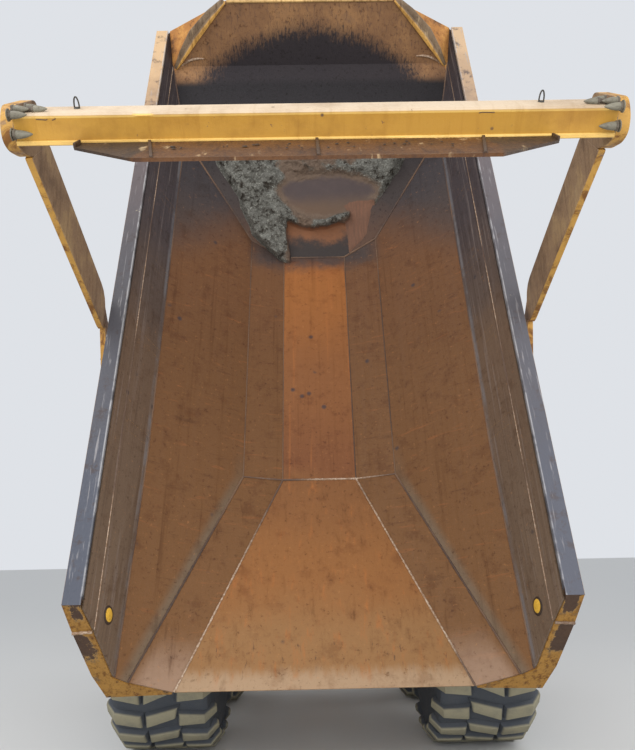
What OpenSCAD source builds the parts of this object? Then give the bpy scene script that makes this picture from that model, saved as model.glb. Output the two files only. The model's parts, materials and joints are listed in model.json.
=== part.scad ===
// Articulated dump truck, parked with its dump body raised and its tailgate swung open.
// Millimetres. Z is up, the front faces -Y and +X is the truck's left side.
// The origin lies on the ground under the middle of the whole machine.

/* [Wheels and axles] */
// Radius over the tyre lugs
wheel_r = 935; // [915:5:940]
// Width of a tyre
tyre_w = 765; // [720:5:775]
// Distance between the wheel centres of one axle
track = 2500; // [2490:5:2540]
// Gap between the tyres of the two rear axles
tyre_gap = 70; // [60:5:110]
// Distance from the front axle to the middle axle
wheelbase = 4520; // [4500:10:4600]
// Lugs around one tyre
lug_count = 24; // [20:4:28]
// Radius of the axle tubes
axle_r = 110; // [95:5:115]

/* [Dump body] */
// Height of the dump body hinge above the axles
hinge_rise = 415; // [410:5:445]
// Angle to which the dump body is raised
tip_raised = 70; // [64:1:70]
// Half width over the top rails
rail_x = 1685; // [1670:5:1700]
// Width of a top rail
rail_w = 140; // [120:5:160]
// Height of the rail tops above the hinge, body lowered
rail_z = 1420; // [1410:5:1440]
// Reach of the rails behind the hinge
rail_rear = 598; // [580:2:610]
// Reach of the rails ahead of the hinge
rail_front = 5680; // [5640:10:5700]
// Half width of the flat load floor
floor_x = 316; // [300:4:324]
// Height of the load floor above the hinge, body lowered
floor_z = 338; // [332:2:344]
// Thickness of the body plates
bed_plate = 16; // [12:1:18]
// Height of the middle of the headboard above the hinge
headboard_z = 1880; // [1850:10:1940]

/* [Tailgate] */
// Swing of the tailgate between closed and open
gate_swing = 85; // [82:1:88]
// Side of the square beam across the tailgate
gate_beam_side = 185; // [170:5:190]
// Length of the tailgate panel from the beam to its free edge
panel_len = 560; // [500:10:580]
// Thickness of the tailgate arms
gate_arm_t = 50; // [40:5:60]

/* [Tractor] */
// Front axle ahead of the articulation pin
axle_to_pin = 1500; // [1480:10:1540]
// Bumper ahead of the front axle
front_overhang = 3050; // [3020:10:3100]
// Half width of the cab
cab_x = 825; // [810:5:830]
// Height of the cab roof above the ground
cab_top = 3680; // [3640:10:3720]
// Swing of the cab door
door_swing = 75; // [60:1:80]

/* [Hoist and steering cylinders] */
// Gap between a hoist cylinder and the tyre beside it
hoist_gap = 62; // [60:1:66]
// Radius of a hoist barrel
hoist_r = 90; // [80:2:92]
// Radius of a hoist rod
hoist_rod_r = 58; // [50:1:60]
// Radius of a steering barrel
steer_r = 52; // [46:1:54]

/* [Hidden] */
$fn = 48;

paint = "goldenrod";
steel = "slategray";
dark = "dimgray";
rubber = [0.12, 0.12, 0.12];
rust = "saddlebrown";

// Clearance of flat and curved seats, of turning parts and of parts that swing past each other
seat = 0.3;
run = 0.6;
gap = 8;

// Lengthwise places, measured from the hinge line, rearward positive
bogie_base = 2 * wheel_r + tyre_gap;
hinge_z = wheel_r + hinge_rise;
rear_axle_y = -300;
mid_axle_y = rear_axle_y - bogie_base;
front_axle_y = mid_axle_y - wheelbase;
pin_y = front_axle_y + axle_to_pin;
nose_y = front_axle_y - front_overhang;
wheel_x = track / 2;
bead_r = 318;
hoist_x = wheel_x - tyre_w / 2 - hoist_r - hoist_gap - 0.5;

// Rear end of the dump body: each corner lies in one slanted plane
end_slope = 0.656;
function end_y(z) = rail_rear + (rail_z - z) * end_slope;
rail_in = rail_x - rail_w;
end_t = 60;
edge_a = [1500, 1250];
edge_b_rear = [1420, 904];
edge_b_front = [1370, 904];
wing_rear = [1334, 863];
lip_rear = [1031, 779];
wing_z = 420;
wing_x = floor_x + 334;
fold_y = -754;
slope_y = -3300;
slope_rise = 0.46;
head_z = edge_a[1];
head_y = slope_y - (head_z - floor_z) / slope_rise;
head_lean = 0.27;
head_x = 860;

// Tailgate: middle of its beam when open and when closed, and the pivot that joins both
beam_open = [-1626, 3373];
beam_closed = [782, 1352];
beam_shift = beam_closed - beam_open;
pivot = (beam_open + beam_closed) / 2
  + [beam_shift[1], -beam_shift[0]] / (2 * tan(gate_swing / 2));
arm_in = rail_x + 50;
arm_out = arm_in + gate_arm_t;
arm_head = 80;
gate_angle = atan2(beam_open[1] - pivot[1], beam_open[0] - pivot[0]);
beam_reach = norm(beam_open - pivot);
panel_angle = -60 - (gate_angle - gate_swing);
panel_lean = 6;
panel_x = 1370;
panel_tip_x = 950;
panel_straight = 150;
gate_pin_r = 45;
panel_t = 20;

// Place of the whole machine: from the nose to the rearmost corner of the open tailgate
function turned(p, a) = [p[0] * cos(a) - p[1] * sin(a), p[0] * sin(a) + p[1] * cos(a)];
panel_root = [gate_beam_side / 2 + seat + panel_t * sin(panel_lean), -gate_beam_side / 2];
panel_end = panel_root + turned([panel_len, panel_t], panel_lean);
panel_tip = beam_open + turned(panel_end, panel_angle + gate_angle);
rear_y = turned(panel_tip, -tip_raised)[0];
origin_y = -(nose_y + rear_y) / 2;

// Cab and hood
cab_rear = front_axle_y + 60;
cab_front = cab_rear - 1490;
cab_floor = 2 * wheel_r + 95;
sill_z = cab_floor + 655;
brow_z = cab_floor + 595;
cab_wall = 50;
door_front = cab_front + 285;
door_rear = cab_rear - 445;
door_low = cab_floor + 60;
door_high = cab_top - 230;
knuckle_x = cab_x + 25;
knuckle_z = [door_low + 180, door_high - 300];
hood_rear = cab_front - 30;
hood_x = 790;
hood_low = 1400;
hood_high_rear = 2480;
hood_high_front = 2080;
hood_t = 12;
hood_pivot_z = 1370;
grille_x = 540;
grille_z = [1500, 1820];
lamp_x = [1020, 1400];
tank_x = [800, 1330];
tank_y = [nose_y + 260, front_axle_y - wheel_r - 545];
walk_y = [front_axle_y - wheel_r - 485, front_axle_y - wheel_r - 95];
deck_z = 1390;

// Frame rails, hitch and cylinders
rail_low = wheel_r + 205;
rail_high = wheel_r + 365;
frame_x = [hoist_x - 335, hoist_x - 215];
frame_tail = -170;
beam_mid = (rear_axle_y + mid_axle_y) / 2;
front_rail = [190, 290];
pin_r = 60;
hitch_z = [wheel_r - 35, wheel_r + 405];
osc_z = wheel_r + 185;
hoist_foot = [mid_axle_y - 410, -310];
hoist_head = [-1110, 250];
function raised(p) = turned(p, -tip_raised);
hoist_vec = raised(hoist_head) - hoist_foot;
hoist_angle = atan2(hoist_vec[1], hoist_vec[0]);
hoist_len = norm(hoist_vec);
hoist_closed = norm(hoist_head - hoist_foot);
steer_foot = [480, pin_y - 1000];
steer_head = [318, pin_y + 35];
steer_vec = steer_head - steer_foot;
steer_angle = atan2(steer_vec[0], steer_vec[1]);
steer_len = norm(steer_vec);

module placed() { translate([0, origin_y, 0]) children(); }
module on_hinge() { placed() translate([0, 0, hinge_z]) children(); }
module in_bed() { on_hinge() rotate([-tip_raised, 0, 0]) children(); }
module in_gate() { in_bed() translate([0, pivot[0], pivot[1]]) rotate([gate_angle, 0, 0]) children(); }
module both() { children(); mirror([1, 0, 0]) children(); }

// Box from its low and high corners
module block(lo, hi) { translate(lo) cube(hi - lo); }

// Rod along X between two places
module rod_x(x0, x1, y, z, r) { translate([x0, y, z]) rotate([0, 90, 0]) cylinder(r = r, h = x1 - x0); }

// Outline in the Y-Z plane, extruded along X
module side_cut(x0, x1) { translate([x0, 0, 0]) rotate([90, 0, 90]) linear_extrude(x1 - x0) children(); }

// Plate with corners p, cut into triangles from the first corner and thickened along the vector d
module plate(p, d) {
  n = len(p);
  turn = cross(p[1] - p[0], p[2] - p[0]) * d > 0;
  function tri(a, b, c) = turn ? [a, b, c] : [a, c, b];
  polyhedron(
    points = concat(p, [for (q = p) q + d]),
    faces = concat(
      [for (i = [1:n - 2]) tri(0, i, i + 1)],
      [for (i = [1:n - 2]) tri(n, n + i + 1, n + i)],
      [for (i = [0:n - 1]) let (j = (i + 1) % n) turn ? [i, i + n, j + n, j] : [i, j, j + n, i + n]]
    )
  );
}

// Lug row: a toothed ring w wide whose teeth reach r and whose roots reach r0
module lug_row(x0, w, r, r0, phase) {
  pitch = 360 / lug_count;
  half = pitch * 0.34;
  reach = r / cos(half);
  translate([x0, 0, 0]) rotate([90, 0, 90]) linear_extrude(w) difference() {
    polygon([for (i = [0:lug_count - 1], c = [[-0.5, r0], [-0.34, reach], [0.34, reach], [0.5, r0]])
      let (a = 270 + (i + phase + c[0]) * pitch) c[1] * [cos(a), sin(a)]]);
    circle(r = 700);
  }
}

module tyre(x, y) {
  h = tyre_w / 2;
  tread_r = wheel_r - 50;
  lug_w = tyre_w * 0.30;
  placed() translate([x, y, wheel_r]) color(rubber) {
    rotate([0, 90, 0]) rotate_extrude($fn = 64)
      polygon([[bead_r, -290], [bead_r, 290], [400, 335], [520, h - 14], [640, h], [760, h - 6],
        [tread_r - 40, h - 24], [tread_r, h - 60], [tread_r, 60 - h], [tread_r - 40, 24 - h],
        [760, 6 - h], [640, -h], [520, 14 - h], [400, -335]]);
    lug_row(-h + 4, lug_w, wheel_r, tread_r - 30, 0);
    lug_row(-lug_w / 2, lug_w, wheel_r, tread_r - 30, 0.5);
    lug_row(h - 4 - lug_w, lug_w, wheel_r, tread_r - 30, 0);
  }
}

// Rim with its dished disc, planetary hub and blind bore for the spindle
module rim(x, y) {
  side = x > 0 ? 0 : 1;
  seat_r = bead_r - seat;
  placed() translate([x, y, wheel_r]) mirror([side, 0, 0]) color(paint) difference() {
    rotate([0, 90, 0]) rotate_extrude($fn = 64)
      polygon([[0, 60], [0, 300], [150, 300], [175, 280], [205, 150], [285, 135], [298, 340], [345, 340],
        [345, 325], [seat_r, 325], [seat_r, -325], [345, -325], [345, -340], [298, -340], [298, 90],
        [190, 60]]);
    rod_x(0, 230, 0, 0, axle_r - 20 + run);
  }
}

// Axle case with drive head, brake drums and spindles, turned about its own line
module axle(y) {
  drum = [wheel_x - 330, wheel_x - 90];
  side = [[0, 230], [90, 230], [170, 190], [230, axle_r], [drum[0], axle_r], [drum[0], 230], [drum[1], 230],
    [drum[1], axle_r], [wheel_x - 70, axle_r], [wheel_x - 70, axle_r - 20], [wheel_x + 220, axle_r - 20],
    [wheel_x + 220, 0]];
  n = len(side);
  half = [for (i = [1:n - 1]) [side[i][1], side[i][0]]];
  other = [for (i = [n - 1:-1:1]) [side[i][1], -side[i][0]]];
  translate([0, y, wheel_r]) rotate([0, 90, 0]) rotate_extrude() polygon(concat(other, half));
}

module front_axle() { placed() color(dark) axle(front_axle_y); }
module rear_axles() {
  placed() color(dark) {
    axle(rear_axle_y);
    axle(mid_axle_y);
  }
}

// Balance beams that rock between the two rear axles
module walking_beams() {
  eye_r = axle_r + 60;
  placed() color(paint) both() difference() {
    union() {
      translate([0, 0, wheel_r]) side_cut(frame_x[1] + 12, frame_x[1] + 102) {
        for (y = [rear_axle_y, mid_axle_y]) translate([y, 0]) circle(r = eye_r);
        polygon([[mid_axle_y - 190, -75], [mid_axle_y - 190, 75], [beam_mid - 200, 105],
          [beam_mid + 200, 105], [rear_axle_y + 190, 75], [rear_axle_y + 190, -75],
          [beam_mid + 200, -155], [beam_mid - 200, -155]]);
      }
      rod_x(frame_x[1] + seat, frame_x[1] + 112, beam_mid, wheel_r - 25, 120);
    }
    for (y = [rear_axle_y, mid_axle_y]) rod_x(frame_x[1], frame_x[1] + 120, y, wheel_r, axle_r + seat);
  }
}

// Rear frame: rails with cross members, hoist brackets and the balance beams' seats
module rear_frame() {
  placed() color(paint) {
    both() {
      block([frame_x[0], pin_y + 420, rail_low], [frame_x[1], frame_tail, rail_high]);
      side_cut(frame_x[0], frame_x[1]) polygon([[hoist_foot[0] - 240, rail_low + 10],
        [hoist_foot[0] - 120, rail_low - 240], [hoist_foot[0] + 120, rail_low - 240],
        [hoist_foot[0] + 240, rail_low + 10]]);
      block([frame_x[0] + 20, beam_mid - 150, rail_low - 340], [frame_x[1], beam_mid + 150, rail_low + 10]);
      rod_x(frame_x[1] - 10, hoist_x + 60, hoist_foot[0], hinge_z + hoist_foot[1], 50);
      rod_x(hoist_x + 45, hoist_x + 60, hoist_foot[0], hinge_z + hoist_foot[1], 68);
    }
    for (y = [beam_mid, mid_axle_y + 390, hoist_foot[0] - 650])
      block([-frame_x[0] - 1, y - 60, rail_low + 20], [frame_x[0] + 1, y + 60, rail_high - 70]);
  }
}

// Brackets on the rear frame: two tipping hinge ears, tow block on its cross member, oscillation housing
module frame_brackets() {
  ear_x = [frame_x[0] + 20, frame_x[1] - 20];
  foot = rail_low - 40;
  tow_y = 120;
  bore = 150 + run;
  module collar(r, h) {
    translate([0, pin_y + 420, osc_z]) rotate([-90, 0, 0]) cylinder(r = r, h = h);
  }
  placed() color(paint) {
    both() difference() {
      side_cut(ear_x[0], ear_x[1]) {
        polygon([[frame_tail + seat, foot], [frame_tail + seat, rail_high - 5], [-135, rail_high - 5],
          [-85, hinge_z + 60], [100, hinge_z - 20], [80, foot]]);
        translate([0, hinge_z]) circle(r = 115);
      }
      rod_x(frame_x[0] + 10, frame_x[1] - 10, 0, hinge_z, 45 + run);
    }
    difference() {
      union() {
        block([seat - ear_x[0], -120, rail_low + 20], [ear_x[0] - seat, 0, rail_high - 70]);
        block([-90, -10, osc_z - 60], [90, tow_y + 70, osc_z + 60]);
      }
      translate([0, tow_y, osc_z - 120]) cylinder(r = 32, h = 240);
    }
    difference() {
      union() {
        collar(330, 60);
        collar(240, 240);
        block([seat - frame_x[0], pin_y + 475, rail_low], [frame_x[0] - seat, pin_y + 640, rail_high]);
      }
      translate([0, -20, 0]) collar(bore, 300);
    }
  }
}

module tail_lamps() {
  placed() color("firebrick") both() {
    block([frame_x[1], -330, rail_low - 30], [frame_x[1] + 260, -300, rail_high - 30]);
    block([frame_x[1] + 60, -300, rail_low - 10], [frame_x[1] + 240, -255, rail_high - 50]);
  }
}

module hitch_yoke() {
  placed() color(paint) difference() {
    union() {
      translate([0, pin_y, hitch_z[0]]) cylinder(r = 150, h = hitch_z[1] - hitch_z[0]);
      block([-200, pin_y, hitch_z[0] + 60], [200, pin_y + 350, hitch_z[1] - 60]);
      translate([0, pin_y + 340, osc_z]) rotate([-90, 0, 0]) cylinder(r = 320, h = 72);
      translate([0, pin_y + 400, osc_z]) rotate([-90, 0, 0]) cylinder(r = 150, h = 230);
      for (z = [osc_z - 75, osc_z + 45]) {
        block([-318, pin_y - 10, z], [318, pin_y + 80, z + 30]);
        both() translate([steer_head[0], steer_head[1], z]) cylinder(r = 60, h = 30);
      }
    }
    translate([0, pin_y, 0]) cylinder(r = pin_r + run, h = 2000);
  }
}

module steer_barrel() {
  placed() translate([steer_foot[0], steer_foot[1], osc_z]) rotate([0, 0, -steer_angle]) color(steel)
    difference() {
      union() {
        translate([0, 0, -40]) cylinder(r = 60, h = 80);
        rotate([-90, 0, 0]) cylinder(r = 38, h = 90);
        translate([0, 76, 0]) rotate([-90, 0, 0]) cylinder(r = steer_r, h = 644);
      }
      translate([0, 0, -60]) cylinder(r = 25 + run, h = 120);
      translate([0, 90, 0]) rotate([-90, 0, 0]) cylinder(r = 30 + run, h = 700);
    }
}
module steer_rod() {
  placed() translate([steer_foot[0], steer_foot[1], osc_z]) rotate([0, 0, -steer_angle]) color("silver") {
    translate([0, steer_len - 600, 0]) rotate([-90, 0, 0]) cylinder(r = 30, h = 570);
    translate([0, steer_len, -37]) cylinder(r = 48, h = 74);
  }
}

module hoist_barrel() {
  on_hinge() translate([hoist_x, hoist_foot[0], hoist_foot[1]]) rotate([hoist_angle, 0, 0]) color(steel)
    difference() {
      union() {
        rod_x(-40, 40, 0, 0, 82);
        translate([0, 78, 0]) rotate([-90, 0, 0]) cylinder(r = hoist_r, h = hoist_closed - 150 - 78);
      }
      rod_x(-50, 50, 0, 0, 50 + run);
      translate([0, 110, 0]) rotate([-90, 0, 0]) cylinder(r = hoist_rod_r + run, h = hoist_closed);
    }
}
module hoist_rod() {
  rod_len = hoist_len - (hoist_closed - 150) + 90;
  on_hinge() translate([hoist_x, hoist_foot[0], hoist_foot[1]]) rotate([hoist_angle, 0, 0]) color("silver") {
    translate([0, hoist_len - rod_len, 0]) rotate([-90, 0, 0]) cylinder(r = hoist_rod_r, h = rod_len - 100);
    translate([0, hoist_len - 110, 0]) rotate([-90, 0, 0]) cylinder(r = 20, h = 80);
    rod_x(-hoist_rod_r, hoist_rod_r, hoist_len, 0, 74);
  }
}

// Load floor, flat from the fold to the front slope, with its two wings
module bed_floor() {
  in_bed() color(rust) {
    plate([[-floor_x, fold_y, floor_z], [floor_x, fold_y, floor_z], [floor_x, slope_y, floor_z],
      [-floor_x, slope_y, floor_z]], [0, 0, -bed_plate]);
  }
}

// Floor of the rear chute, rising to the lip
module bed_ramp() {
  in_bed() color(rust)
    plate([[-floor_x, fold_y, floor_z], [floor_x, fold_y, floor_z],
      [lip_rear[0], end_y(lip_rear[1]), lip_rear[1]], [-lip_rear[0], end_y(lip_rear[1]), lip_rear[1]]],
      [0, 0, -bed_plate]);
}

// Place at which the front slope reaches a height
function slope_at(z) = slope_y - (z - floor_z) / slope_rise;
strip_top = rail_z - 20;

module bed_sides() {
  d = [bed_plate, 0, -bed_plate];
  wing_front = slope_at(wing_z);
  wall_front = slope_at(edge_b_front[1]);
  in_bed() color(rust) both() {
    // wing beside the floor and beside the ramp
    plate([[floor_x, fold_y, floor_z], [wing_x, fold_y, wing_z], [wing_x, wing_front, wing_z],
      [floor_x, slope_y, floor_z]], d);
    plate([[floor_x, fold_y, floor_z], [lip_rear[0], end_y(lip_rear[1]), lip_rear[1]],
      [wing_rear[0], end_y(wing_rear[1]), wing_rear[1]], [wing_x, fold_y, wing_z]], d);
    // main wall
    plate([[wing_x, fold_y, wing_z], [edge_b_front[0], fold_y, edge_b_front[1]],
      [edge_b_front[0], wall_front, edge_b_front[1]], [wing_x, wing_front, wing_z]], d);
    plate([[wing_x, fold_y, wing_z], [wing_rear[0], end_y(wing_rear[1]), wing_rear[1]],
      [edge_b_rear[0], end_y(edge_b_rear[1]), edge_b_rear[1]],
      [edge_b_front[0], fold_y, edge_b_front[1]]], d);
    // leaning strip under the rail
    plate([[edge_b_front[0], fold_y, edge_b_front[1]], [edge_a[0], fold_y, edge_a[1]],
      [edge_a[0], slope_at(edge_a[1]), edge_a[1]], [edge_b_front[0], wall_front, edge_b_front[1]]], d);
    plate([[edge_b_front[0], fold_y, edge_b_front[1]],
      [edge_b_rear[0], end_y(edge_b_rear[1]), edge_b_rear[1]],
      [edge_a[0], end_y(edge_a[1]), edge_a[1]], [edge_a[0], fold_y, edge_a[1]]], d);
    plate([[edge_a[0], head_y, head_z], [edge_a[0], end_y(edge_a[1]), edge_a[1]],
      [rail_in, end_y(strip_top), strip_top], [rail_in, -rail_front, strip_top]], d);
  }
}

// Front slope, headboard and the two corner plates that tie it to the rails
module bed_front() {
  wing_front = slope_at(wing_z);
  wall_front = slope_at(edge_b_front[1]);
  top = [head_x, head_y - (headboard_z - head_z) * head_lean, headboard_z];
  foot = [edge_a[0], head_y, head_z];
  function other(c) = [-c[0], c[1], c[2]];
  in_bed() color(rust) {
    plate([[-floor_x, slope_y, floor_z], [floor_x, slope_y, floor_z], [wing_x, wing_front, wing_z],
      [edge_b_front[0], wall_front, edge_b_front[1]], foot, other(foot),
      [-edge_b_front[0], wall_front, edge_b_front[1]], [-wing_x, wing_front, wing_z]],
      [0, -bed_plate, -bed_plate]);
    plate([other(foot), foot, top, other(top)], [0, -bed_plate, 0]);
    both() plate([foot, [rail_in, -rail_front, strip_top], top], [0, -bed_plate, 0]);
  }
}

// Top rails, cut off ahead of the end frame, with the hangers and pins of the tailgate arms
module bed_rails() {
  rail_h = 150;
  drop = rail_z - rail_h - pivot[1];
  function rear(z) = end_y(z) - end_t * 1.18;
  in_bed() color(steel) both()
    side_cut(rail_in + bed_plate + seat, rail_x) polygon([[rear(rail_z - rail_h), rail_z - rail_h],
      [rear(rail_z), rail_z], [-rail_front, rail_z], [-rail_front, rail_z - rail_h]]);
  in_bed() color(steel) both() translate([0, pivot[0], pivot[1]]) {
    side_cut(rail_in + 55, rail_x) {
      polygon([[-110, 0], [110, 0], [260, drop + 1], [-260, drop + 1]]);
      circle(r = 110);
    }
    rod_x(rail_x - 1, arm_out, 0, 0, gate_pin_r);
  }
}

// Thick frame round the rear end; inner and outer corners of one side, from the rail down to the lip
module bed_end_frame() {
  skin = bed_plate + 0.5;
  inner = [[rail_in + skin, strip_top - skin], [edge_a[0] + skin, edge_a[1] - skin],
    [edge_b_rear[0] + skin, edge_b_rear[1] - skin], [wing_rear[0] + skin, wing_rear[1] - skin],
    [lip_rear[0] + skin, lip_rear[1] - skin]];
  outer = [[rail_x, rail_z], [1650, 1225], [1573, 912], [1498, 746], [lip_rear[0] + skin, lip_rear[1] - 40]];
  function at(c) = [c[0], end_y(c[1]), c[1]];
  in_bed() color(paint) both() for (i = [0:3])
    plate([at(inner[i]), at(inner[i + 1]), at(outer[i + 1]), at(outer[i])], [0, -end_t, -end_t / 4]);
}

module bed_beams() {
  cheek = [[frame_x[0] - 50, frame_x[0] + 10], [frame_x[1] - 10, frame_x[1] + 50]];
  low = -40;
  top = floor_z - bed_plate - seat;
  tail = 110;
  wing_rise = (wing_z - floor_z) / (wing_x - floor_x);
  wall_rise = (edge_b_front[1] - wing_z) / (edge_b_front[0] - wing_x);
  corner_x = wing_x + bed_plate;
  pad_x = cheek[1][1] + 1;
  ear_x = [hoist_x - hoist_rod_r - gap - 30, hoist_x + hoist_rod_r + gap];
  function under(x) = wing_z - bed_plate - seat
    + (x - corner_x) * (x < corner_x ? wing_rise : wall_rise);
  rise = (lip_rear[1] - floor_z) / (end_y(lip_rear[1]) - fold_y);
  module side() {
    polygon([[slope_y - 100, low], [slope_y - 100, top], [fold_y, top], [tail, top + (tail - fold_y) * rise],
      [tail, 0], [0, -tail], [-80, low]]);
    circle(r = tail);
  }
  in_bed() color(paint) both() {
    difference() {
      union() {
        for (c = cheek) side_cut(c[0], c[1]) side();
        block([cheek[0][1] - 1, slope_y - 100, low], [cheek[1][0] + 1, -150, top]);
      }
      rod_x(cheek[0][0] - 10, cheek[1][1] + 10, 0, 0, 45 - 0.01);
    }
    rod_x(cheek[0][0] - 5, cheek[1][1] + 5, 0, 0, 45);
    // pad and ears for the hoist rods
    translate([0, hoist_head[0] + 130, 0]) rotate([90, 0, 0]) linear_extrude(260)
      polygon([[pad_x, 345], [pad_x, under(pad_x)], [corner_x, under(corner_x)],
        [ear_x[1] + 30, under(ear_x[1] + 30)], [ear_x[1] + 30, 345]]);
    for (x = ear_x) side_cut(x, x + 30) {
      translate(hoist_head) circle(r = 85);
      polygon([[hoist_head[0] - 85, hoist_head[1]], [hoist_head[0] + 85, hoist_head[1]],
        [hoist_head[0] + 120, 346], [hoist_head[0] - 120, 346]]);
    }
  }
}

// Arms outside the rails with a deep head that holds the beam's end
module gate_arms() {
  r = beam_reach;
  in_gate() color(paint) both() difference() {
    union() {
      side_cut(arm_in, arm_out) {
        circle(r = 130);
        polygon([[-60, 115], [60, -115], [250, 120], [r - 240, 20], [r - 370, 340], [430, 400]]);
      }
      side_cut(arm_in, arm_in + arm_head)
        polygon([[r - 245, 30], [r - 110, -85], [r - 20, -110], [r + 60, -60], [r + 110, 50], [r - 70, 365],
          [r - 375, 340]]);
    }
    rod_x(arm_in - 10, arm_out + 10, 0, 0, gate_pin_r + run);
  }
}

module at_beam() { in_gate() translate([0, beam_reach, 0]) rotate([panel_angle, 0, 0]) children(); }

module gate_beam() {
  s = gate_beam_side / 2;
  color(paint) at_beam() block([seat - arm_in, -s, -s], [arm_in - seat, s, s]);
}

// Panel that closes the chute, hung on the beam's lower edge and turned out a little from its face
module gate_panel() {
  color(paint) at_beam() translate([0, panel_root[0], panel_root[1]]) rotate([panel_lean, 0, 0])
    linear_extrude(panel_t) polygon([[-panel_x, 0], [panel_x, 0], [panel_x, panel_straight],
      [panel_tip_x, panel_len], [-panel_tip_x, panel_len], [-panel_x, panel_straight]]);
}

// Tractor frame: rails, articulation clevis with its pin, steering brackets, cab stand, tank arms
module front_frame() {
  clevis = [[hitch_z[0] - 55, hitch_z[0] - 5], [hitch_z[1] + 5, hitch_z[1] + 55]];
  placed() color(dark) {
    both() block([front_rail[0], nose_y + 150, rail_low], [front_rail[1], pin_y - 570, rail_high]);
    both() block([235, front_axle_y - 90, wheel_r + axle_r + seat],
      [front_rail[1], front_axle_y + 90, rail_low + 5]);
    for (y = [nose_y + 260, nose_y + 1500, front_axle_y + 600])
      block([-200, y - 50, rail_low + 20], [200, y + 50, rail_high - 20]);
    block([-front_rail[1], pin_y - 650, clevis[0][0] + 100], [front_rail[1], pin_y - 570, rail_high]);
    block([-180, pin_y - 620, clevis[0][0]], [180, pin_y - 340, clevis[1][1]]);
    for (c = clevis) translate([0, pin_y, c[0]]) linear_extrude(c[1] - c[0]) {
      polygon([[-180, -400], [180, -400], [158, 0], [-158, 0]]);
      circle(r = 160);
    }
    translate([0, pin_y, clevis[0][0]]) cylinder(r = pin_r, h = clevis[1][1] - clevis[0][0]);
    both() {
      for (z = [osc_z - 75, osc_z + 45]) {
        block([front_rail[1] - 20, steer_foot[1] - 60, z], [steer_foot[0], steer_foot[1] + 60, z + 30]);
        translate([steer_foot[0], steer_foot[1], z]) cylinder(r = 60, h = 30);
      }
      translate([steer_foot[0], steer_foot[1], osc_z - 80]) cylinder(r = 25, h = 160);
      for (y = [tank_y[0] + 250, tank_y[1] - 250])
        block([front_rail[1] + seat, y - 40, rail_low + 30], [tank_x[0] - seat, y + 40, rail_low + 110]);
    }
    block([-560, cab_front + 40, rail_high - 1], [560, cab_rear - 40, cab_floor - seat]);
  }
}

// Bumper with lamp pockets, tow plates and the hood's hinge posts
module front_bumper() {
  tow_x = 250;
  tow = [nose_y + 85, 655];
  placed() color(paint) {
    difference() {
      side_cut(-1480, 1480) polygon([[nose_y, 820], [nose_y, 1290], [nose_y + 150 - seat, 1290],
        [nose_y + 150 - seat, 720], [nose_y + 60, 720]]);
      both() block([lamp_x[0], nose_y - 10, 980], [lamp_x[1], nose_y + 70, 1180]);
    }
    both() {
      difference() {
        side_cut(tow_x - 40, tow_x + 40) {
          polygon([[nose_y + 60, 721], [nose_y + 145, 721], [tow[0] + 58, tow[1]], [tow[0] - 58, tow[1]]]);
          translate(tow) circle(r = 58);
        }
        rod_x(tow_x - 50, tow_x + 50, tow[0], tow[1], 28);
      }
      block([610, nose_y + 70, 1289], [650, nose_y + 145, 1345]);
      rod_x(610, 650, nose_y + 110, hood_pivot_z, 38);
      rod_x(555, 611, nose_y + 110, hood_pivot_z, 20);
    }
  }
}

module head_lamps() {
  mid = (lamp_x[0] + lamp_x[1]) / 2;
  placed() color("whitesmoke") both() for (x = [[lamp_x[0] + seat, mid - 5], [mid + 5, lamp_x[1] - seat]])
    block([x[0], nose_y + 10, 980 + seat], [x[1], nose_y + 70 - seat, 1180 - seat]);
}

module engine_block() {
  placed() color(dark) block([-330, nose_y + 380, rail_high + seat], [330, cab_front - 80, 1960]);
}

// Arched mudguards over the front wheels with flat inner walls to the frame
module front_mudguards() {
  r0 = wheel_r + 60;
  placed() color(paint) both() {
    side_cut(700, wheel_x + tyre_w / 2 + 10) difference() {
      translate([front_axle_y, wheel_r]) circle(r = r0 + 14);
      translate([front_axle_y, wheel_r]) circle(r = r0);
      translate([front_axle_y - 2000, -600]) square([4000, wheel_r + 950]);
    }
    for (y = [front_axle_y - 300, front_axle_y - 100])
      block([560 + seat, y, wheel_r + 705], [701, y + 80, wheel_r + 785]);
    side_cut(690, 704) difference() {
      translate([front_axle_y, wheel_r]) circle(r = r0 + 14);
      translate([front_axle_y - 2000, -600]) square([4000, wheel_r + 1250]);
    }
  }
}

// Cab outline in the Y-Z plane, drawn in by w and then open at the roof
function cab_side(w) = let (top = cab_top - 90 + (w > 0 ? 1 : 0)) [[cab_rear - w, cab_floor + w],
  [cab_rear - w, top], [cab_front + 190 + w, top], [cab_front + w, brow_z], [cab_front + w, cab_floor + w]];

module cab_shell() {
  win_low = sill_z;
  win_high = cab_top - 230;
  placed() color(paint) difference() {
    side_cut(-cab_x, cab_x) polygon(cab_side(0));
    side_cut(cab_wall - cab_x, cab_x - cab_wall) polygon(cab_side(cab_wall));
    // windscreen and rear window
    side_cut(120 - cab_x, cab_x - 120) polygon([[cab_front - 60, win_low], [cab_front + 200, win_low],
      [cab_front + 400, win_high], [cab_front + 60, win_high]]);
    block([150 - cab_x, cab_rear - 80, win_low], [cab_x - 150, cab_rear + 20, win_high]);
    // quarter windows on both sides, the right front window and the door opening on the left
    both() block([cab_x - 80, door_rear + 80, win_low], [cab_x + 20, cab_rear - 90, win_high]);
    block([-cab_x - 20, door_front, win_low - 120], [80 - cab_x, door_rear, win_high]);
    block([cab_x - 80, door_front, door_low], [cab_x + 20, door_rear, door_high]);
  }
  placed() color(paint) for (z = knuckle_z) translate([knuckle_x, door_front, z]) {
    cylinder(r = 12, h = 100);
    cylinder(r = 24, h = 20);
    block([cab_x - knuckle_x - 1, -60, 0], [12, 0, 20]);
  }
}

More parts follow.
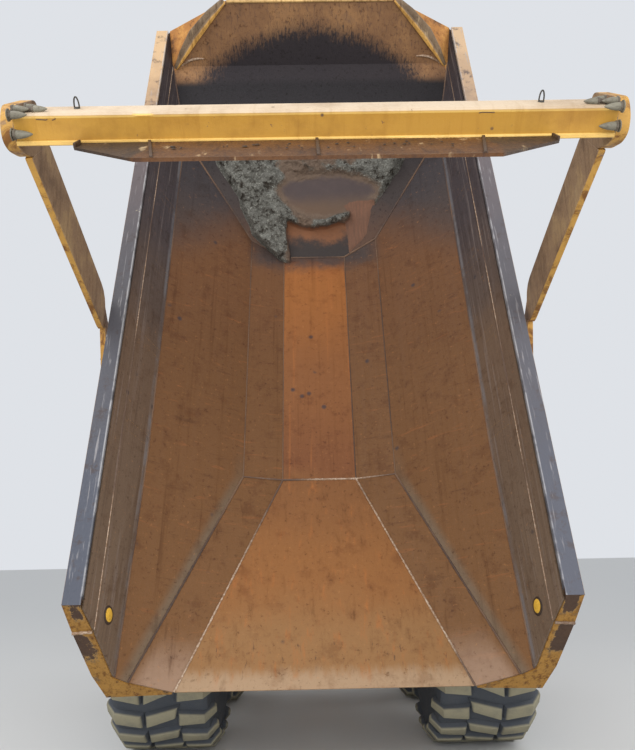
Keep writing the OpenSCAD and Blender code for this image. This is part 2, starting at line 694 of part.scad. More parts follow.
module cab_roof() {
  placed() color(paint) {
    block([-cab_x - 15, cab_front + 120, cab_top - 90 + seat], [cab_x + 15, cab_rear + 40, cab_top - 40]);
    block([60 - cab_x, cab_front + 220, cab_top - 41], [cab_x - 60, cab_rear - 40, cab_top]);
  }
}

// Panes, each in the middle of its wall
module cab_glass() {
  win_low = sill_z + seat;
  win_high = cab_top - 230 - seat;
  pane = 8;
  lean = (cab_top - 90 - brow_z) / 190;
  function glass_y(z, w) = cab_front + (z - brow_z) / lean + w;
  placed() color("lightsteelblue", 0.4) {
    side_cut(120 - cab_x + seat, cab_x - 120 - seat) polygon([[glass_y(win_low, 20), win_low],
      [glass_y(win_low, 20 + pane), win_low], [glass_y(win_high, 20 + pane), win_high],
      [glass_y(win_high, 20), win_high]]);
    block([150 - cab_x + seat, cab_rear - 30, win_low], [cab_x - 150 - seat, cab_rear - 30 + pane, win_high]);
    both() block([cab_x - 30, door_rear + 80 + seat, win_low],
      [cab_x - 30 + pane, cab_rear - 90 - seat, win_high]);
    block([22 - cab_x, door_front + seat, win_low - 120], [22 - cab_x + pane, door_rear - seat, win_high]);
  }
}

module cab_seat() {
  y = cab_rear - 620;
  base = cab_floor + cab_wall + seat;
  placed() color(dark) {
    block([-150, y - 150, base], [150, y + 150, base + 260]);
    block([-260, y - 260, base + 260], [260, y + 260, base + 380]);
    side_cut(-250, 250) polygon([[y + 170, base + 370], [y + 280, base + 370], [y + 390, base + 1050],
      [y + 310, base + 1080]]);
  }
}

module cab_dash() {
  y = cab_front + cab_wall + seat;
  base = cab_floor + cab_wall + seat;
  placed() color(dark) {
    side_cut(-600, 600) polygon([[y, base], [y, brow_z - 20], [y + 160, brow_z], [y + 260, brow_z - 140],
      [y + 180, base]]);
    translate([0, y + 330, sill_z + 20]) rotate([-30, 0, 0]) {
      rotate_extrude() translate([200, 0]) circle(r = 18);
      block([-205, -20, -12], [205, 20, 12]);
      translate([0, 0, -330]) cylinder(r = 30, h = 330);
    }
  }
}

// Walkways beside the hood and the ladder on the left, with a second step up to each mudguard
module access_steps() {
  deck = [deck_z - 30, deck_z];
  placed() color(dark) {
    both() {
      block([tank_x[0], nose_y + 180, deck[0]], [1450, walk_y[1], deck[1]]);
      block([900, walk_y[1] - 260, deck[1] - 1], [1400, walk_y[1] - 20, deck[1] + 260]);
      for (x = [1000, 1410]) block([x, walk_y[0], 420], [x + 30, walk_y[1], deck[0] + 1]);
      for (z = [440, 740, 1040]) block([1029, walk_y[0] + 20, z], [1411, walk_y[1] - 20, z + 30]);
    }
  }
}

module rail_post(x, y, z0, z1) { translate([x, y, z0]) cylinder(r = 20, h = z1 - z0); }

module handrails() {
  posts = [nose_y + 240, nose_y + 900, walk_y[0] - 60];
  post_x = 1420;
  placed() color(dark) both() {
    for (y = posts) rail_post(post_x, y, deck_z + seat, deck_z + 910);
    for (z = [deck_z + 460, deck_z + 900]) translate([post_x, posts[0], z]) rotate([-90, 0, 0])
      cylinder(r = 19, h = posts[2] - posts[0]);
  }
}

module exhaust_stack() {
  placed() color("darkgray") translate([-1000, cab_front - 260, deck_z + seat]) {
    cylinder(r = 90, h = 260);
    translate([0, 0, 250]) cylinder(r = 140, h = 900);
    translate([0, 0, 1140]) cylinder(r = 62, h = 760);
  }
}

module side_tanks() {
  tank_low = 720;
  placed() color(paint) both() difference() {
    block([tank_x[0], tank_y[0], tank_low], [tank_x[1], tank_y[1], deck_z - 30 - seat]);
    translate([tank_x[1], tank_y[0] - 10, tank_low]) rotate([0, 45, 0])
      cube([170, tank_y[1] - tank_y[0] + 20, 170]);
  }
}

module mirrors() {
  y = cab_front + 150;
  placed() color(dark) both() {
    rod_x(cab_x + seat, 1180, y + 20, 3180, 16);
    rod_x(cab_x + seat, 1180, y + 20, 2700, 16);
    block([1140, y, 2660], [1360, y + 50, 3220]);
  }
}

// Hood outline in the Y-Z plane, drawn in by w and then open behind and below
function hood_side(w) = let (out = w > 0 ? 10 : 0) [[hood_rear + out, hood_low - out],
  [hood_rear + out, hood_high_rear - w], [nose_y + 190 + w / 2, hood_high_front - w],
  [nose_y + 40 + w, hood_high_front - 200], [nose_y + 40 + w, hood_low - out]];

module hood_shell() {
  placed() color(paint) difference() {
    union() {
      difference() {
        side_cut(-hood_x, hood_x) polygon(hood_side(0));
        side_cut(hood_t - hood_x, hood_x - hood_t) polygon(hood_side(hood_t));
      }
      both() side_cut(560, 600) polygon([[nose_y + 45, 1345], [nose_y + 150, 1345], [nose_y + 150, 1480],
        [nose_y + 45, 1480]]);
    }
    block([-grille_x, nose_y, grille_z[0]], [grille_x, nose_y + 150, grille_z[1]]);
    for (y = [nose_y + 560:130:nose_y + 1340]) both()
      block([hood_x - 40, y, 1620], [hood_x + 10, y + 60, 1900]);
    rod_x(-700, 700, nose_y + 110, hood_pivot_z, 20 + run);
  }
}

module hood_grille() {
  lo = grille_z[0] + seat;
  hi = grille_z[1] - seat;
  bars = 9;
  pitch = (hi - lo - 30) / (bars - 1);
  placed() color(dark) {
    for (z = [lo:pitch:hi - 29])
      block([seat - grille_x, nose_y + 42, z], [grille_x - seat, nose_y + 66, z + 30]);
    for (x = [-grille_x + seat, -15, grille_x - 30 - seat])
      block([x, nose_y + 50, lo], [x + 30, nose_y + 76, hi]);
  }
}

// Low and high corners of the two door panes, in the Y-Z plane
door_panes = [[[door_front + 90, brow_z], [door_rear - 90, door_high - 90]],
  [[door_front + 90, door_low + 120], [door_rear - 90, brow_z - 80]]];

module door_shell() {
  placed() color(paint) difference() {
    block([cab_x - cab_wall, door_front + gap, door_low + gap], [cab_x, door_rear - gap, door_high - gap]);
    for (p = door_panes) block([cab_x - 80, p[0][0], p[0][1]], [cab_x + 20, p[1][0], p[1][1]]);
  }
  placed() color(paint) for (z = knuckle_z) translate([knuckle_x, door_front, z + 21]) difference() {
    union() {
      cylinder(r = 24, h = 70);
      block([cab_x - knuckle_x - 1, 0, 0], [12, 60, 70]);
    }
    cylinder(r = 12 + run, h = 200, center = true);
  }
}

module door_glass() {
  placed() color("lightsteelblue", 0.4) for (p = door_panes)
    block([cab_x - 30, p[0][0] + seat, p[0][1] + seat], [cab_x - 22, p[1][0] - seat, p[1][1] - seat]);
}

front_frame();
front_bumper();
front_axle();
engine_block();
front_mudguards();
cab_shell();
cab_roof();
cab_glass();
cab_seat();
cab_dash();
access_steps();
handrails();
exhaust_stack();
side_tanks();
head_lamps();
mirrors();
hood_shell();
hood_grille();
door_shell();
door_glass();
hitch_yoke();
steer_barrel();  // steer_barrel_l
mirror([1, 0, 0]) steer_barrel();  // steer_barrel_r
steer_rod();  // steer_rod_l
mirror([1, 0, 0]) steer_rod();  // steer_rod_r
rear_frame();
frame_brackets();
rear_axles();
walking_beams();
tail_lamps();
bed_floor();
bed_ramp();
bed_sides();
bed_front();
bed_rails();
bed_end_frame();
bed_beams();
gate_arms();
gate_beam();
gate_panel();
hoist_barrel();  // hoist_barrel_l
mirror([1, 0, 0]) hoist_barrel();  // hoist_barrel_r
hoist_rod();  // hoist_rod_l
mirror([1, 0, 0]) hoist_rod();  // hoist_rod_r
tyre(wheel_x, front_axle_y);  // tyre_fl
tyre(-wheel_x, front_axle_y);  // tyre_fr
tyre(wheel_x, mid_axle_y);  // tyre_ml
tyre(-wheel_x, mid_axle_y);  // tyre_mr
tyre(wheel_x, rear_axle_y);  // tyre_rl
tyre(-wheel_x, rear_axle_y);  // tyre_rr
rim(wheel_x, front_axle_y);  // rim_fl
rim(-wheel_x, front_axle_y);  // rim_fr
rim(wheel_x, mid_axle_y);  // rim_ml
rim(-wheel_x, mid_axle_y);  // rim_mr
rim(wheel_x, rear_axle_y);  // rim_rl
rim(-wheel_x, rear_axle_y);  // rim_rr
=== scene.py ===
"""Finish and fittings of an articulated dump truck with its body raised and its tailgate open.

Metres. Z is up, the cab's front faces -Y and +X is the truck's left side.
"""
import json
from math import cos, pi, radians, sin

import bmesh
import bpy
import numpy as np
from bpy.props import FloatProperty, IntProperty
from mathutils import Matrix, Vector


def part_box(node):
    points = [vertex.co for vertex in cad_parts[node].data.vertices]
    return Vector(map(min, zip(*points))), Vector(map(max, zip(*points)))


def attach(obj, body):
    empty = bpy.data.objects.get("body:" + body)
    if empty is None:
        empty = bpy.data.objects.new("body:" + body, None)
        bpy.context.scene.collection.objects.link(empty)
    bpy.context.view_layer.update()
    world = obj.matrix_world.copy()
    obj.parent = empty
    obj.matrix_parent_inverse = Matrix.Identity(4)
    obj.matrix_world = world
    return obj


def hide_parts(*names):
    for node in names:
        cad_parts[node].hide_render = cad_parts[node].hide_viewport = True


bl_info = {
    "name": "Articulated Dump Truck Finish",
    "version": (1, 0, 0),
    "blender": (4, 5, 0),
    "location": "3D View > Sidebar > Dump Truck",
    "description": "Paint, wear and fittings of an articulated dump truck",
    "category": "Object",
}

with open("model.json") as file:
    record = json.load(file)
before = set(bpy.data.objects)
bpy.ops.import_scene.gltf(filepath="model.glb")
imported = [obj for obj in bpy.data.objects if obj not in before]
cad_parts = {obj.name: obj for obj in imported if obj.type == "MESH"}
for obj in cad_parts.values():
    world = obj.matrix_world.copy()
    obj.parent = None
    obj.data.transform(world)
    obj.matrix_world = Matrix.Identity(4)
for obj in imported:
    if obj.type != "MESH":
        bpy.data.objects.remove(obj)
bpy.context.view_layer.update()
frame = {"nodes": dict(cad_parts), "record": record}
NODES = frame["nodes"]
JOINTS = {j["name"]: j for j in frame["record"]["behaviour"]["joints"]}
HINGE = np.array(JOINTS["tip"]["pos_m"])
RAISED = radians(JOINTS["tip"]["range_deg"][1])
BEAM = np.mean(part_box("gate_beam"), axis=0)
PIVOT = np.array(JOINTS["tailgate_swing"]["pos_m"])
BEAM_LEAN = radians(-45)
PANEL_LEAN = radians(6)


# Places on the truck

def turned(p, angle, at):
    """Points turned about the X line through at."""
    p = np.asarray(p, float)
    c, s = cos(angle), sin(angle)
    x, y, z = p[..., 0], p[..., 1], p[..., 2]
    return np.stack([at[0] + x, at[1] + y * c - z * s, at[2] + y * s + z * c], -1)


def from_body(p):
    """Body coordinates (lowered, measured from the tipping hinge) turned up by the raised angle."""
    return turned(p, -RAISED, HINGE)


def from_beam(p):
    """Tailgate beam coordinates: Y out of its web, Z out of its top."""
    return turned(p, BEAM_LEAN, BEAM)


def from_arm(p):
    """Tailgate arm coordinates: Y from the pivot to the beam."""
    reach = BEAM - PIVOT
    return turned(p, np.arctan2(reach[2], reach[1]), PIVOT)


def as_is(p):
    """Points that stay where they are."""
    return np.asarray(p, float)


# Meshes from arrays

def grid_faces(rows, cols, wrap_rows=False, wrap_cols=False):
    """Quads of a grid of points numbered row by row; a wrapped direction joins its last line to its first."""
    i = np.arange(rows if wrap_rows else rows - 1)
    j = np.arange(cols if wrap_cols else cols - 1)
    i, j = np.meshgrid(i, j, indexing="ij")
    k, l = (i + 1) % rows, (j + 1) % cols
    return np.stack([i * cols + j, k * cols + j, k * cols + l, i * cols + l], -1).reshape(-1, 4)


def make(name, parts, finish, body, smooth=35, bevel=0.0):
    """One object from parts of (points, quads, marks, caps), with doubles merged and faces turned outwards.

    Marks are one number a point, kept as the attribute "mark" for the finish to read."""
    points, faces, marks, start = [], [], [], 0
    for part in parts:
        p = np.asarray(part[0], float).reshape(-1, 3)
        points.append(p)
        faces += (np.asarray(part[1]) + start).tolist()
        marks.append(np.broadcast_to(np.ravel(part[2]) if len(part) > 2 else 0.0, len(p)))
        if len(part) > 3:
            faces += [[start + i for i in cap] for cap in part[3]]
        start += len(p)
    points, marks = np.concatenate(points), np.concatenate(marks)
    mesh = bpy.data.meshes.new(name)
    mesh.from_pydata(points.tolist(), [], faces)
    mesh.attributes.new("mark", "FLOAT", "POINT").data.foreach_set("value", marks.astype(np.float32))
    work = bmesh.new()
    work.from_mesh(mesh)
    bmesh.ops.remove_doubles(work, verts=work.verts, dist=1e-5)
    bmesh.ops.recalc_face_normals(work, faces=work.faces)
    work.to_mesh(mesh)
    work.free()
    obj = bpy.data.objects.new(name, mesh)
    bpy.context.scene.collection.objects.link(obj)
    mesh.materials.append(finish)
    mesh.shade_smooth()
    mesh.set_sharp_from_angle(angle=radians(smooth))
    if bevel:
        edge = obj.modifiers.new("edges", "BEVEL")
        edge.width = bevel
        edge.segments = 2
        edge.limit_method = "ANGLE"
        edge.angle_limit = radians(smooth)
    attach(obj, body)
    return obj


def rect(a, b, low, high):
    """Corners of a rectangle from a to b and from low to high."""
    return [(a, low), (b, low), (b, high), (a, high)]


def disc(radius, height):
    """Profile of a plain disc, to be turned."""
    return [(0, 0), (radius, 0), (radius, height), (0, height)]


def rounded(outline, radius, steps=3, most=0.45):
    """Outline whose corners give way to parabolas between points a radius away along both sides.

    No corner takes more than a share, most, of a side."""
    p = np.asarray(outline, float)
    radius = np.broadcast_to(radius, len(p))[:, None]
    ends = []
    for side in (np.roll(p, 1, 0) - p, np.roll(p, -1, 0) - p):
        length = np.linalg.norm(side, axis=1)[:, None]
        ends.append((p + side / length * np.minimum(radius, length * most))[:, None])
    t = np.linspace(0, 1, steps + 1)[None, :, None]
    return ((1 - t) ** 2 * ends[0] + 2 * t * (1 - t) * p[:, None] + t ** 2 * ends[1]).reshape(-1, 2)


def patch(corners, u, v):
    """Bilinear patch: u runs from the first corner to the second, v from both to the fourth and the third."""
    a, b, c, d = np.asarray(corners, float)
    near = ((1 - u) * (1 - v))[..., None] * a + (u * (1 - v))[..., None] * b
    return near + (u * v)[..., None] * c + ((1 - u) * v)[..., None] * d


def swept(outline, stations):
    """Rings of an outline in the Y-Z plane, one at each station along X."""
    rings = np.empty((len(stations), len(outline), 3))
    rings[..., 0] = np.asarray(stations, float)[:, None]
    rings[..., 1:] = outline
    return rings


def loft(rings, mark=0.0):
    """Closed form through rings of one count of points, its two ends filled."""
    rings = np.asarray(rings, float)
    n, m = rings.shape[:2]
    return rings, grid_faces(n, m, False, True), mark, [list(range(m))[::-1], list(range((n - 1) * m, n * m))]


def prism(outline, low, high, place=as_is, mark=0.0):
    """Plate with an outline in the Y-Z plane between two places along X."""
    return loft(place(swept(outline, (low, high))), mark)


def column(outline, low, high, place=as_is, mark=0.0):
    """Plate with an outline in the X-Y plane between two heights."""
    rings = np.stack([np.column_stack([outline, np.full(len(outline), z)]) for z in (low, high)])
    return loft(place(rings), mark)


def box(low, high, place=as_is, mark=0.0):
    """Bar between two corners, to be bevelled."""
    (x0, y0, z0), (x1, y1, z1) = low, high
    return prism(rect(y0, y1, z0, z1), x0, x1, place, mark)


def closed_sheet(front, back, mark=0.0):
    """Slab between two grids of points: each row runs over the front and returns over the back."""
    front, back = np.asarray(front, float), np.asarray(back, float)
    rings = np.concatenate([front, back[:, ::-1]], axis=1)
    n, m = front.shape[:2]
    i = np.arange(m - 1)
    ends = np.stack([i, i + 1, 2 * m - 2 - i, 2 * m - 1 - i], -1)
    faces = np.concatenate([grid_faces(n, 2 * m, False, True), ends, ends + (n - 1) * 2 * m])
    mark = np.broadcast_to(mark, front.shape[:2])
    return rings, faces, np.concatenate([mark, mark[:, ::-1]], axis=1)


def lathe(profile, centre, axis, segments=16, mark=0.0):
    """Turned form: a profile of (radius, along) carried about the axis through the centre."""
    axis = np.asarray(axis, float) / np.linalg.norm(axis)
    a = np.cross(axis, (0, 0, 1.0) if abs(axis[2]) < 0.9 else (1.0, 0, 0))
    a /= np.linalg.norm(a)
    b = np.cross(axis, a)
    turn = np.linspace(0, 2 * pi, segments, endpoint=False)[None, :, None]
    r, h = np.asarray(profile, float).T[:, :, None, None]
    points = np.asarray(centre) + h * axis + r * (np.cos(turn) * a + np.sin(turn) * b)
    return points, grid_faces(len(profile), segments, False, True), mark


def bolt(centre, axis, size=0.015, mark=0.0):
    """Hexagon head on a washer, chamfered at the top."""
    head = [(0, 0), (size, 0), (size, size * 0.75), (size * 0.82, size * 0.95), (0, size * 0.95)]
    return [lathe(disc(size * 1.25, size * 0.2), centre, axis, 16, mark), lathe(head, centre, axis, 6, mark)]


def placed(parts, place):
    """The parts with their points carried by a placing function."""
    return [(place(p[0]), *p[1:]) for p in parts]


def both(parts):
    """The parts and their mirror images across the middle plane."""
    return list(parts) + placed(parts, lambda p: np.asarray(p) * (-1, 1, 1))


def revolve(profile, centre, segments=96):
    """Closed ring: a closed profile of (radius, place along X) turned about the X line through centre."""
    turn = np.linspace(0, 2 * pi, segments, endpoint=False)[:, None]
    r, w = np.asarray(profile, float).T[:, None]
    x, y, z = centre
    points = np.stack([x + w + 0 * turn, y + r * np.cos(turn), z + r * np.sin(turn)], -1)
    return points, grid_faces(segments, len(profile), True, True)


def tube(path, radius, sides=8, closed=False):
    """Round bar along a path: rings of equal radius, square to the path's direction at each point."""
    path = np.asarray(path, float)
    ahead = np.roll(path, -1, 0) - np.roll(path, 1, 0) if closed else np.gradient(path, axis=0)
    ahead /= np.linalg.norm(ahead, axis=1)[:, None]
    helper = np.where(np.abs(ahead[:, 2:3]) > 0.9, [[1.0, 0, 0]], [[0, 0, 1.0]])
    a = np.cross(ahead, helper)
    a /= np.linalg.norm(a, axis=1)[:, None]
    b = np.cross(ahead, a)
    turn = np.linspace(0, 2 * pi, sides, endpoint=False)[None, :, None]
    radius = np.broadcast_to(radius, len(path))[:, None, None]
    ring = path[:, None] + radius * (a[:, None] * np.cos(turn) - b[:, None] * np.sin(turn))
    if closed:
        return ring, grid_faces(len(path), sides, True, True)
    first, last = (np.repeat(path[i][None, None], sides, 1) for i in (0, -1))
    return np.concatenate([first, ring, last]), grid_faces(len(path) + 2, sides, False, True)


def resample(line, step):
    """Points along straight runs, no further than step apart."""
    out = [np.asarray(line[0], float)]
    for a, b in zip(line[:-1], line[1:]):
        a, b = np.asarray(a, float), np.asarray(b, float)
        n = max(1, int(np.ceil(np.linalg.norm(b - a) / step)))
        out += [a + (b - a) * k / n for k in range(1, n + 1)]
    return np.array(out)


# Uneven surfaces

def hills(x, y, seed, waves=9):
    """Sum of sine waves of random direction and rising frequency, from -1 to 1."""
    rng = np.random.default_rng(seed)
    total = 0
    for k in range(waves):
        turn, phase = rng.uniform(0, 2 * pi, 2)
        freq = 3.0 * 1.55 ** k
        along = (x * cos(turn) + y * sin(turn)) * freq + phase
        bend = 1.3 * np.sin(y * freq * 0.6 + phase)
        total = total + np.sin(along + bend) / 1.45 ** k
    return total / 2.2


def pebbles(x, y, count, reach, seed):
    """Round lumps: 1 minus the distance to the nearest of the scattered lumps over its reach."""
    rng = np.random.default_rng(seed)
    across = rng.uniform(x.min(), x.max(), count)
    along = rng.uniform(y.min(), y.max(), count)
    near = np.full(x.shape, 9.0)
    for cx, cy, r in zip(across, along, rng.uniform(0.4, 1.0, count)):
        near = np.minimum(near, np.hypot(x - cx, y - cy) / r)
    return np.clip(1 - near / reach, 0, 1)


def smooth(v, low, high):
    """Smooth step: 3 t squared minus 2 t cubed, where t runs from 0 at low to 1 at high."""
    t = np.clip((v - low) / (high - low), 0, 1)
    return t * t * (3 - 2 * t)


def ripple(path, radius, depth):
    """Radius of a weld bead: radius times 1 plus depth times a fine and a slow sine along the path."""
    fine, slow = 0.055, 0.31
    far = np.concatenate([[0], np.cumsum(np.linalg.norm(np.diff(path, axis=0), axis=1))])
    return radius * (1 + depth * np.sin(far * 2 * pi / fine) + 0.5 * depth * np.sin(far * 2 * pi / slow))


# Tyres and wheels

def tread_surface(t, s, lift, size):
    """Point on the tread: t along the crown and round the shoulder, s round the tyre, lift above the grooves.

    The crown is flat to the shoulder, which then turns down on a quarter circle."""
    radius, half, groove, shoulder = size
    flat = half - shoulder
    over = np.clip(np.abs(t) - flat, 0, shoulder * pi / 2) / shoulder
    w = np.sign(t) * (np.minimum(np.abs(t), flat) + (shoulder + lift) * np.sin(over))
    r = radius - groove - shoulder + (shoulder + lift) * np.cos(over)
    r = r - np.maximum(np.abs(t) - flat - shoulder * pi / 2, 0)
    turn = s / radius
    return np.stack([w, r * np.cos(turn), r * np.sin(turn)], -1)


def lug(corners, offset, size, height):
    """One lug: a grid over four corners (t, s) whose border stands in the groove and whose rim is chamfered.

    Its foot is wider than its face, and its mark is the height, from 0 in the groove to 1 on the face."""
    a = np.array([0, 0.0, 0.035, 0.1, 0.35, 0.65, 0.9, 0.965, 1.0, 1])
    b = np.array([0, 0.0, 0.05, 0.14, 0.5, 0.86, 0.95, 1.0, 1])
    rim = [0, 0.8, 0.95, 1, 1, 0.95, 0.8, 0]
    up_a = np.interp(np.arange(len(a)), [0, 1, 2, 3, 6, 7, 8, 9], rim)
    up_b = np.interp(np.arange(len(b)), [0, 1, 2, 3, 5, 6, 7, 8], rim)
    u, v = np.meshgrid(a, b, indexing="ij")
    up = np.minimum(up_a[:, None], up_b[None])
    spread = 1 + 0.16 * (up < 0.1)
    flat = patch(corners, 0.5 + (u - 0.5) * spread, 0.5 + (v - 0.5) * spread)
    return tread_surface(flat[..., 0], flat[..., 1] + offset, up * height, size), grid_faces(*u.shape), up


def tyre_parts(centre, side, t):
    """Carcass ring with sidewall ribs, and three rows of slanted lugs, mirrored for the other side."""
    half, base = t.width / 2, t.radius - t.lug_height
    crown, shoulder = half - 0.012, 0.055
    size = (t.radius, crown, t.lug_height, shoulder)
    wall = [(0.318, 0.29), (0.345, 0.312), (0.40, 0.335), (0.47, 0.352), (0.52, 0.3685), (0.53, 0.3745),
            (0.545, 0.3745), (0.555, 0.371), (0.62, 0.3785), (0.66, 0.381), (0.672, 0.3825), (0.69, 0.3825),
            (0.70, 0.380), (0.76, 0.3785), (0.80, 0.377), (base - shoulder, crown),
            (base - 0.02, half - 0.025), (base - 0.004, half - 0.045), (base, half - 0.07),
            (base, half - 0.2)]
    parts = [revolve([*wall, (base, 0.0), *((r, -w) for r, w in reversed(wall))], (0, 0, 0), 120)]
    pitch = 2 * pi * t.radius / t.lugs
    rows = (
        [(half + 0.045, 0.075), (half - 0.235, 0.0), (half - 0.235, 0.125), (half + 0.045, 0.19)],
        [(0.115, 0.0), (-0.115, 0.105), (-0.135, 0.205), (0.105, 0.125)],
        [(-half + 0.245, 0.02), (-half - 0.045, 0.055), (-half - 0.045, 0.125), (-half + 0.235, 0.145)],
    )
    for row in rows:
        parts += [lug(row, k * pitch, size, t.lug_height) for k in range(t.lugs)]
    return [(p * (side, 1, 1) + centre, f[:, ::side], *rest) for p, f, *rest in parts]


def wheel_body(name):
    """Body that a tyre or rim turns with, from the last two letters of its name."""
    return "wheel_" + name[-2:]


def build_tyres(t):
    """Six lugged tyres, each round the middle of the tyre that it stands for."""
    finish = dusty_rubber_with_groove_shade("dusty tyre")
    for name in [n for n in NODES if n.startswith("tyre_")]:
        low, high = (np.array(c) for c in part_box(name))
        centre = (low + high) / 2
        side = 1 if centre[0] > 0 else -1
        obj = make("lugged_" + name, tyre_parts(centre, side, t), finish, wheel_body(name), 30)
        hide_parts(name)


def build_wheels():
    """Nuts round the rim's disc and the hub, a hub plug, a lock ring and a valve, on each wheel."""
    steel = two_tone("wheel nut", (96, 78, 52), (150, 116, 62), False)
    nut_circles = ((20, 0.247, 0.141, 0.014), (10, 0.118, 0.299, 0.011))
    plug = [(0, 0), (0.07, 0), (0.07, 0.012), (0.055, 0.020), (0.02, 0.022), (0.018, 0.034), (0, 0.034)]
    lock = np.array([(0.304, 0.338), (0.322, 0.334), (0.331, 0.343), (0.322, 0.352), (0.306, 0.350)])
    valve = np.array([(0.145, 0, 0.286), (0.175, 0, 0.286), (0.205, 0, 0.282), (0.235, 0, 0.268),
                      (0.252, 0, 0.262)])
    for name in [n for n in NODES if n.startswith("rim_")]:
        middle = np.mean(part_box(name), axis=0)
        out = 1 if middle[0] > 0 else -1
        parts = []
        for count, radius, reach, size in nut_circles:
            for k in range(count):
                turn = 2 * pi * k / count
                place = middle + (out * reach, radius * cos(turn), radius * sin(turn))
                parts += bolt(place, (out, 0, 0), size, 0.2 + 0.6 * (k % 3 == 0))
        parts.append(lathe(plug, middle + (out * 0.298, 0, 0), (out, 0, 0), 32, 0.5))
        parts.append(revolve(lock * (1, out), middle, 72))
        parts.append(tube(middle + valve * (out, 1, 1), [0.006, 0.006, 0.006, 0.008, 0.008], 8))
        make("fittings_" + name, parts, steel, wheel_body(name), 40)


# Dump body

# Corners of the load space's section on the left: across, and above the hinge
LIP, WING_END, WALL_END = (1.031, 0.779), (1.334, 0.863), (1.42, 0.904)
WALL_FOOT, STRIP_TOP, RAIL_FOOT = (1.37, 0.904), (1.5, 1.25), (1.545, 1.40)
# Outer corners of the end frame, from the rail down to the lip
FRAME_EDGE = ((1.685, 1.42), (1.65, 1.225), (1.573, 0.912), (1.498, 0.746), (1.0475, 0.760))
FLOOR_HALF, WING_HALF, FOLD_Y = 0.316, 0.65, -0.754


def on_end(b, x, z):
    """Point of the slanted plane of the rear end, body frame."""
    return x, b.rail_rear + (b.rail_z - z) * b.end_slope, z


def on_slope(b, x, z):
    """Point of the front slope's plane, body frame."""
    return x, b.slope_y - (z - b.floor_z) / b.slope_rise, z


def body_points(b):
    """Corners of the load space on the left side, body frame, keyed by fold and place."""
    points = {
        "floor_fold": (b.floor_x, b.fold_y, b.floor_z), "floor_slope": (b.floor_x, b.slope_y, b.floor_z),
        "wing_fold": (b.wing_x, b.fold_y, b.wing_z), "wing_slope": on_slope(b, b.wing_x, b.wing_z),
        "wall_fold": (WALL_FOOT[0], b.fold_y, WALL_FOOT[1]), "wall_slope": on_slope(b, *WALL_FOOT),
        "strip_fold": (STRIP_TOP[0], b.fold_y, STRIP_TOP[1]), "strip_slope": on_slope(b, *STRIP_TOP),
        "lip": on_end(b, *LIP), "wing_end": on_end(b, *WING_END), "wall_end": on_end(b, *WALL_END),
        "strip_end": on_end(b, *STRIP_TOP), "rail_front": (RAIL_FOOT[0], -5.68, RAIL_FOOT[1]),
        "head_top": (0.86, -5.4527, 1.88),
    }
    return {key: np.array(p) for key, p in points.items()}


def build_welds(b):
    """Beads in the folds between the plates of the load space, pale where they are worn bright.

    Each run goes from corner to corner with a size in beads; one more crosses the floor."""
    c = body_points(b)
    runs = {
        "pale": (("floor_fold", "lip", 0.95), ("floor_fold", "wing_fold", 0.9),
                 ("strip_slope", "strip_end", 0.6)),
        "dark": (("wing_fold", "wing_end", 1.0), ("wall_fold", "wall_slope", 0.8),
                 ("wall_fold", "wall_end", 0.8), ("wing_fold", "wing_slope", 0.6),
                 ("floor_slope", "wing_slope", 1.3), ("wing_slope", "wall_slope", 1.3),
                 ("wall_slope", "strip_slope", 1.3), ("floor_fold", "floor_slope", 0.6)),
    }
    step, across_size = 0.022, 1.2
    for kind, across in (("pale", "floor_fold"), ("dark", "floor_slope")):
        lines = [(resample([c[a] * (side, 1, 1), c[z] * (side, 1, 1)], step), size)
                 for side in (1, -1) for a, z, size in runs[kind]]
        lines.append((resample([c[across], c[across] * (-1, 1, 1)], step), across_size))
        parts = []
        for line, size in lines:
            line[:, 2] += b.bead * 0.2
            parts.append(tube(from_body(line), ripple(line, b.bead * size, 0.18), 6))
        metal = weld_metal(kind + " weld bead", kind == "pale")
        make("body_welds_" + kind, parts, metal, "dump_body", 60)


